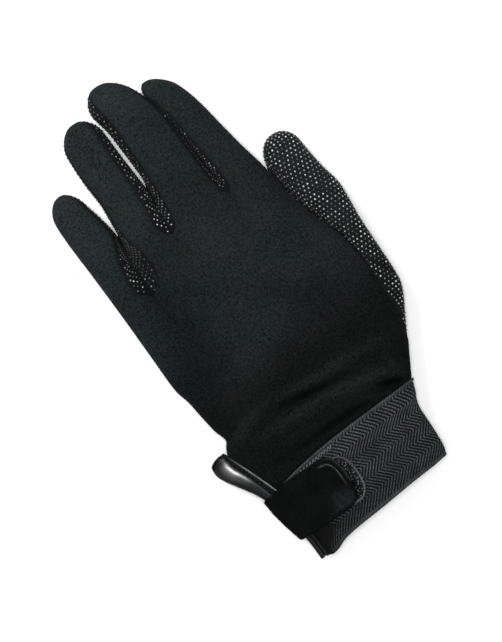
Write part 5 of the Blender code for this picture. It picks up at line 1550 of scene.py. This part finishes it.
# %% Leather: glossy where it is stretched over its edge, dull where it is handled, with soft creases
leather, tree, shader, where, uv = new_material("binding_leather")
grain_of = group(tree, grain, Vector=where, Scale=1500.0)
soft = group(tree, mottle, Vector=where, Broad=150.0, Fine=700.0, Balance=0.35)
gloss_of = own_value(tree, "gloss")
paint(tree, shader, blend_colour(tree, soft["Shade"], (0.0030, 0.0032, 0.0035), (0.0068, 0.0072, 0.0080)))
worn = sum_of(tree, "MULTIPLY_ADD", soft["Shade"], 0.10, 0.42)
tree.links.new(sum_of(tree, "MULTIPLY_ADD", gloss_of, -0.16, worn), shader.inputs["Roughness"])
tree.links.new(sum_of(tree, "MULTIPLY_ADD", gloss_of, 0.70, 0.04), shader.inputs["Specular IOR Level"])
tree.links.new(sum_of(tree, "MULTIPLY", gloss_of, 0.33), shader.inputs["Coat Weight"])
set_shader(shader, Coat_Roughness=0.24)
creases = bump(tree, shader, soft["Shade"], 0.0002, 0.25)
bump(tree, shader, grain_of["Height"], 0.00001, 0.5, creases)

# %% Thread: grey on the elastic, black and waxed on the leather
def thread_material(name, low, high, roughness, shine):
    """Spun thread between two colours, with fine fuzz."""
    finish, tree, shader, where, uv = new_material(name)
    soft = group(tree, mottle, Vector=where, Broad=300.0, Fine=2500.0, Balance=0.5)
    paint(tree, shader, blend_colour(tree, soft["Shade"], low, high))
    set_shader(shader, Roughness=roughness, Specular_IOR_Level=shine)
    bump(tree, shader, soft["Fuzz"], 0.00008, 0.7)
    return finish


thread = thread_material("black_thread", (0.020, 0.022, 0.023), (0.070, 0.075, 0.077), 0.5, 0.4)
waxed = thread_material("waxed_thread", (0.0015, 0.0016, 0.0017), (0.0060, 0.0064, 0.0066), 0.55, 0.25)

# %% Put the materials on
FINISH_OF = {"back_panel": jersey, "cuff_band": elastic, "loop_patch": pile, "tab": suede,
             "vent_binding": leather, "palm_panel": grip, "thumb": grip,
             **{name: shaded_side_wall for name in FOURCHETTES}}
for name, piece in pieces.items():
    piece.data.materials.append(FINISH_OF[name])
for piece in dots.values():
    piece.data.materials.append(dot_rubber)
for piece in stitches:
    piece.data.materials.append(waxed if piece.name == "facing_thread" else thread)
print("materials", sorted({finish.name for finish in FINISH_OF.values()}))

# %% [markdown]
# ## How each cloth was cut
# Every panel here is a flat cloth before it is sewn, folded or wrapped. Its flat size is measured on its own
# grids: the widest row, the longest column and the sum of the cells' areas. A fourchette is broad only for
# a moment, at the web, so its width is given as twice its mean width.

def widest(grid):
    """Length of the grid's longest row."""
    return float(np.linalg.norm(np.diff(grid, axis=1), axis=2).sum(axis=1).max())


def longest(grid):
    """Length of the grid's longest column."""
    return float(np.linalg.norm(np.diff(grid, axis=0), axis=2).sum(axis=0).max())


def flat_area(*sheets):
    """Half the cross product of each cell's two diagonals, summed over all the cells."""
    crosses = [np.cross(g[1:, 1:] - g[:-1, :-1], g[1:, :-1] - g[:-1, 1:]) for g in sheets]
    return float(sum(np.linalg.norm(cross, axis=2).sum() / 2 for cross in crosses))


for panel, names in {"back_panel": ["back_hand"] + [f.name + "_back" for f in FINGERS], **DOT_GRIDS}.items():
    own_grids = [grids[name] for name in names]
    size = (widest(own_grids[0]), longest(own_grids[0]))
    if panel in ("back_panel", "palm_panel"):
        size = (size[0], size[1] + max(longest(grid) for grid in own_grids[1:]))
    if panel == "thumb":
        size = (size[0] + widest(own_grids[1]), size[1])
    area = flat_area(*own_grids)
    if panel in FOURCHETTES:
        size = (2 * area / size[1], size[1])
    print("cloth", panel, "%.1f x %.1f mm" % (size[0] * 1000, size[1] * 1000), "%.2f cm2" % (area * 1e4))

# %% [markdown]
# ## Floor, light and camera
# The photograph shows the glove from straight above on a white table under soft light. The floor is a
# plain pale sheet. A wide lamp beyond the fingertips shines low along the hand and draws its folds, one
# straight above gives the leather its highlights, and two weak ones and a pale sky soften the shadows.
# The camera looks straight down, turned so that the fingers point to the upper left.

# %% Floor
FLOOR_SIZE = 6.0
corners = np.array([(-1, -1, 0), (1, -1, 0), (1, 1, 0), (-1, 1, 0)]) * FLOOR_SIZE / 2
floor = bpy.data.objects.new("floor", new_mesh("floor", corners, [[0, 1, 2, 3]]))
bpy.context.scene.collection.objects.link(floor)
table, tree, shader, where, uv = new_material("pale_table")
set_shader(shader, Base_Color=(0.70, 0.70, 0.70, 1), Roughness=0.7)
floor.data.materials.append(table)

# %% Light
def area_lamp(name, at, aim, size, watts):
    """A round white lamp at one place, turned to another."""
    data = bpy.data.lights.new(name, "AREA")
    data.shape, data.size, data.energy = "DISK", size, watts
    lamp = bpy.data.objects.new(name, data)
    bpy.context.scene.collection.objects.link(lamp)
    lamp.location = at
    lamp.rotation_euler = (Vector(aim) - Vector(at)).to_track_quat("-Z", "Y").to_euler()


area_lamp("lamp_over_fingers", (-0.35, 1.15, 0.85), (0, 0, 0), 0.7, 19)
area_lamp("lamp_overhead", (0, 0, 1.60), (0, 0, 0), 0.6, 24)
area_lamp("lamp_left", (-0.95, -0.35, 0.90), (0, 0, 0), 0.8, 3)
area_lamp("lamp_right", (0.95, -0.45, 0.90), (0, -0.05, 0), 0.8, 3)
SKY_STRENGTH = 0.35
world = bpy.data.worlds.new("studio")
world.use_nodes = True
sky = world.node_tree.nodes["Background"]
sky.inputs["Color"].default_value, sky.inputs["Strength"].default_value = (1, 1, 1, 1), SKY_STRENGTH
bpy.context.scene.world = world
bpy.context.scene.view_settings.view_transform = "Standard"

# %% Camera
PHOTO_TURN, PHOTO_HEIGHT, SENSOR = math.radians(34.3), 0.2953, 24
LOOK_AT, CAMERA_UP, FOCUS_LEVEL = (-0.00803, -0.01014), 1.25, 0.008
camera_data = bpy.data.cameras.new("camera")
camera_data.sensor_fit, camera_data.sensor_height = "VERTICAL", SENSOR
camera_data.lens = SENSOR * (CAMERA_UP - FOCUS_LEVEL) / PHOTO_HEIGHT
camera = bpy.data.objects.new("camera", camera_data)
camera.location = (*LOOK_AT, CAMERA_UP)
camera.rotation_euler = (0, 0, -PHOTO_TURN)
bpy.context.scene.collection.objects.link(camera)
bpy.context.scene.camera = camera

# %% Finish
bpy.context.view_layer.update()
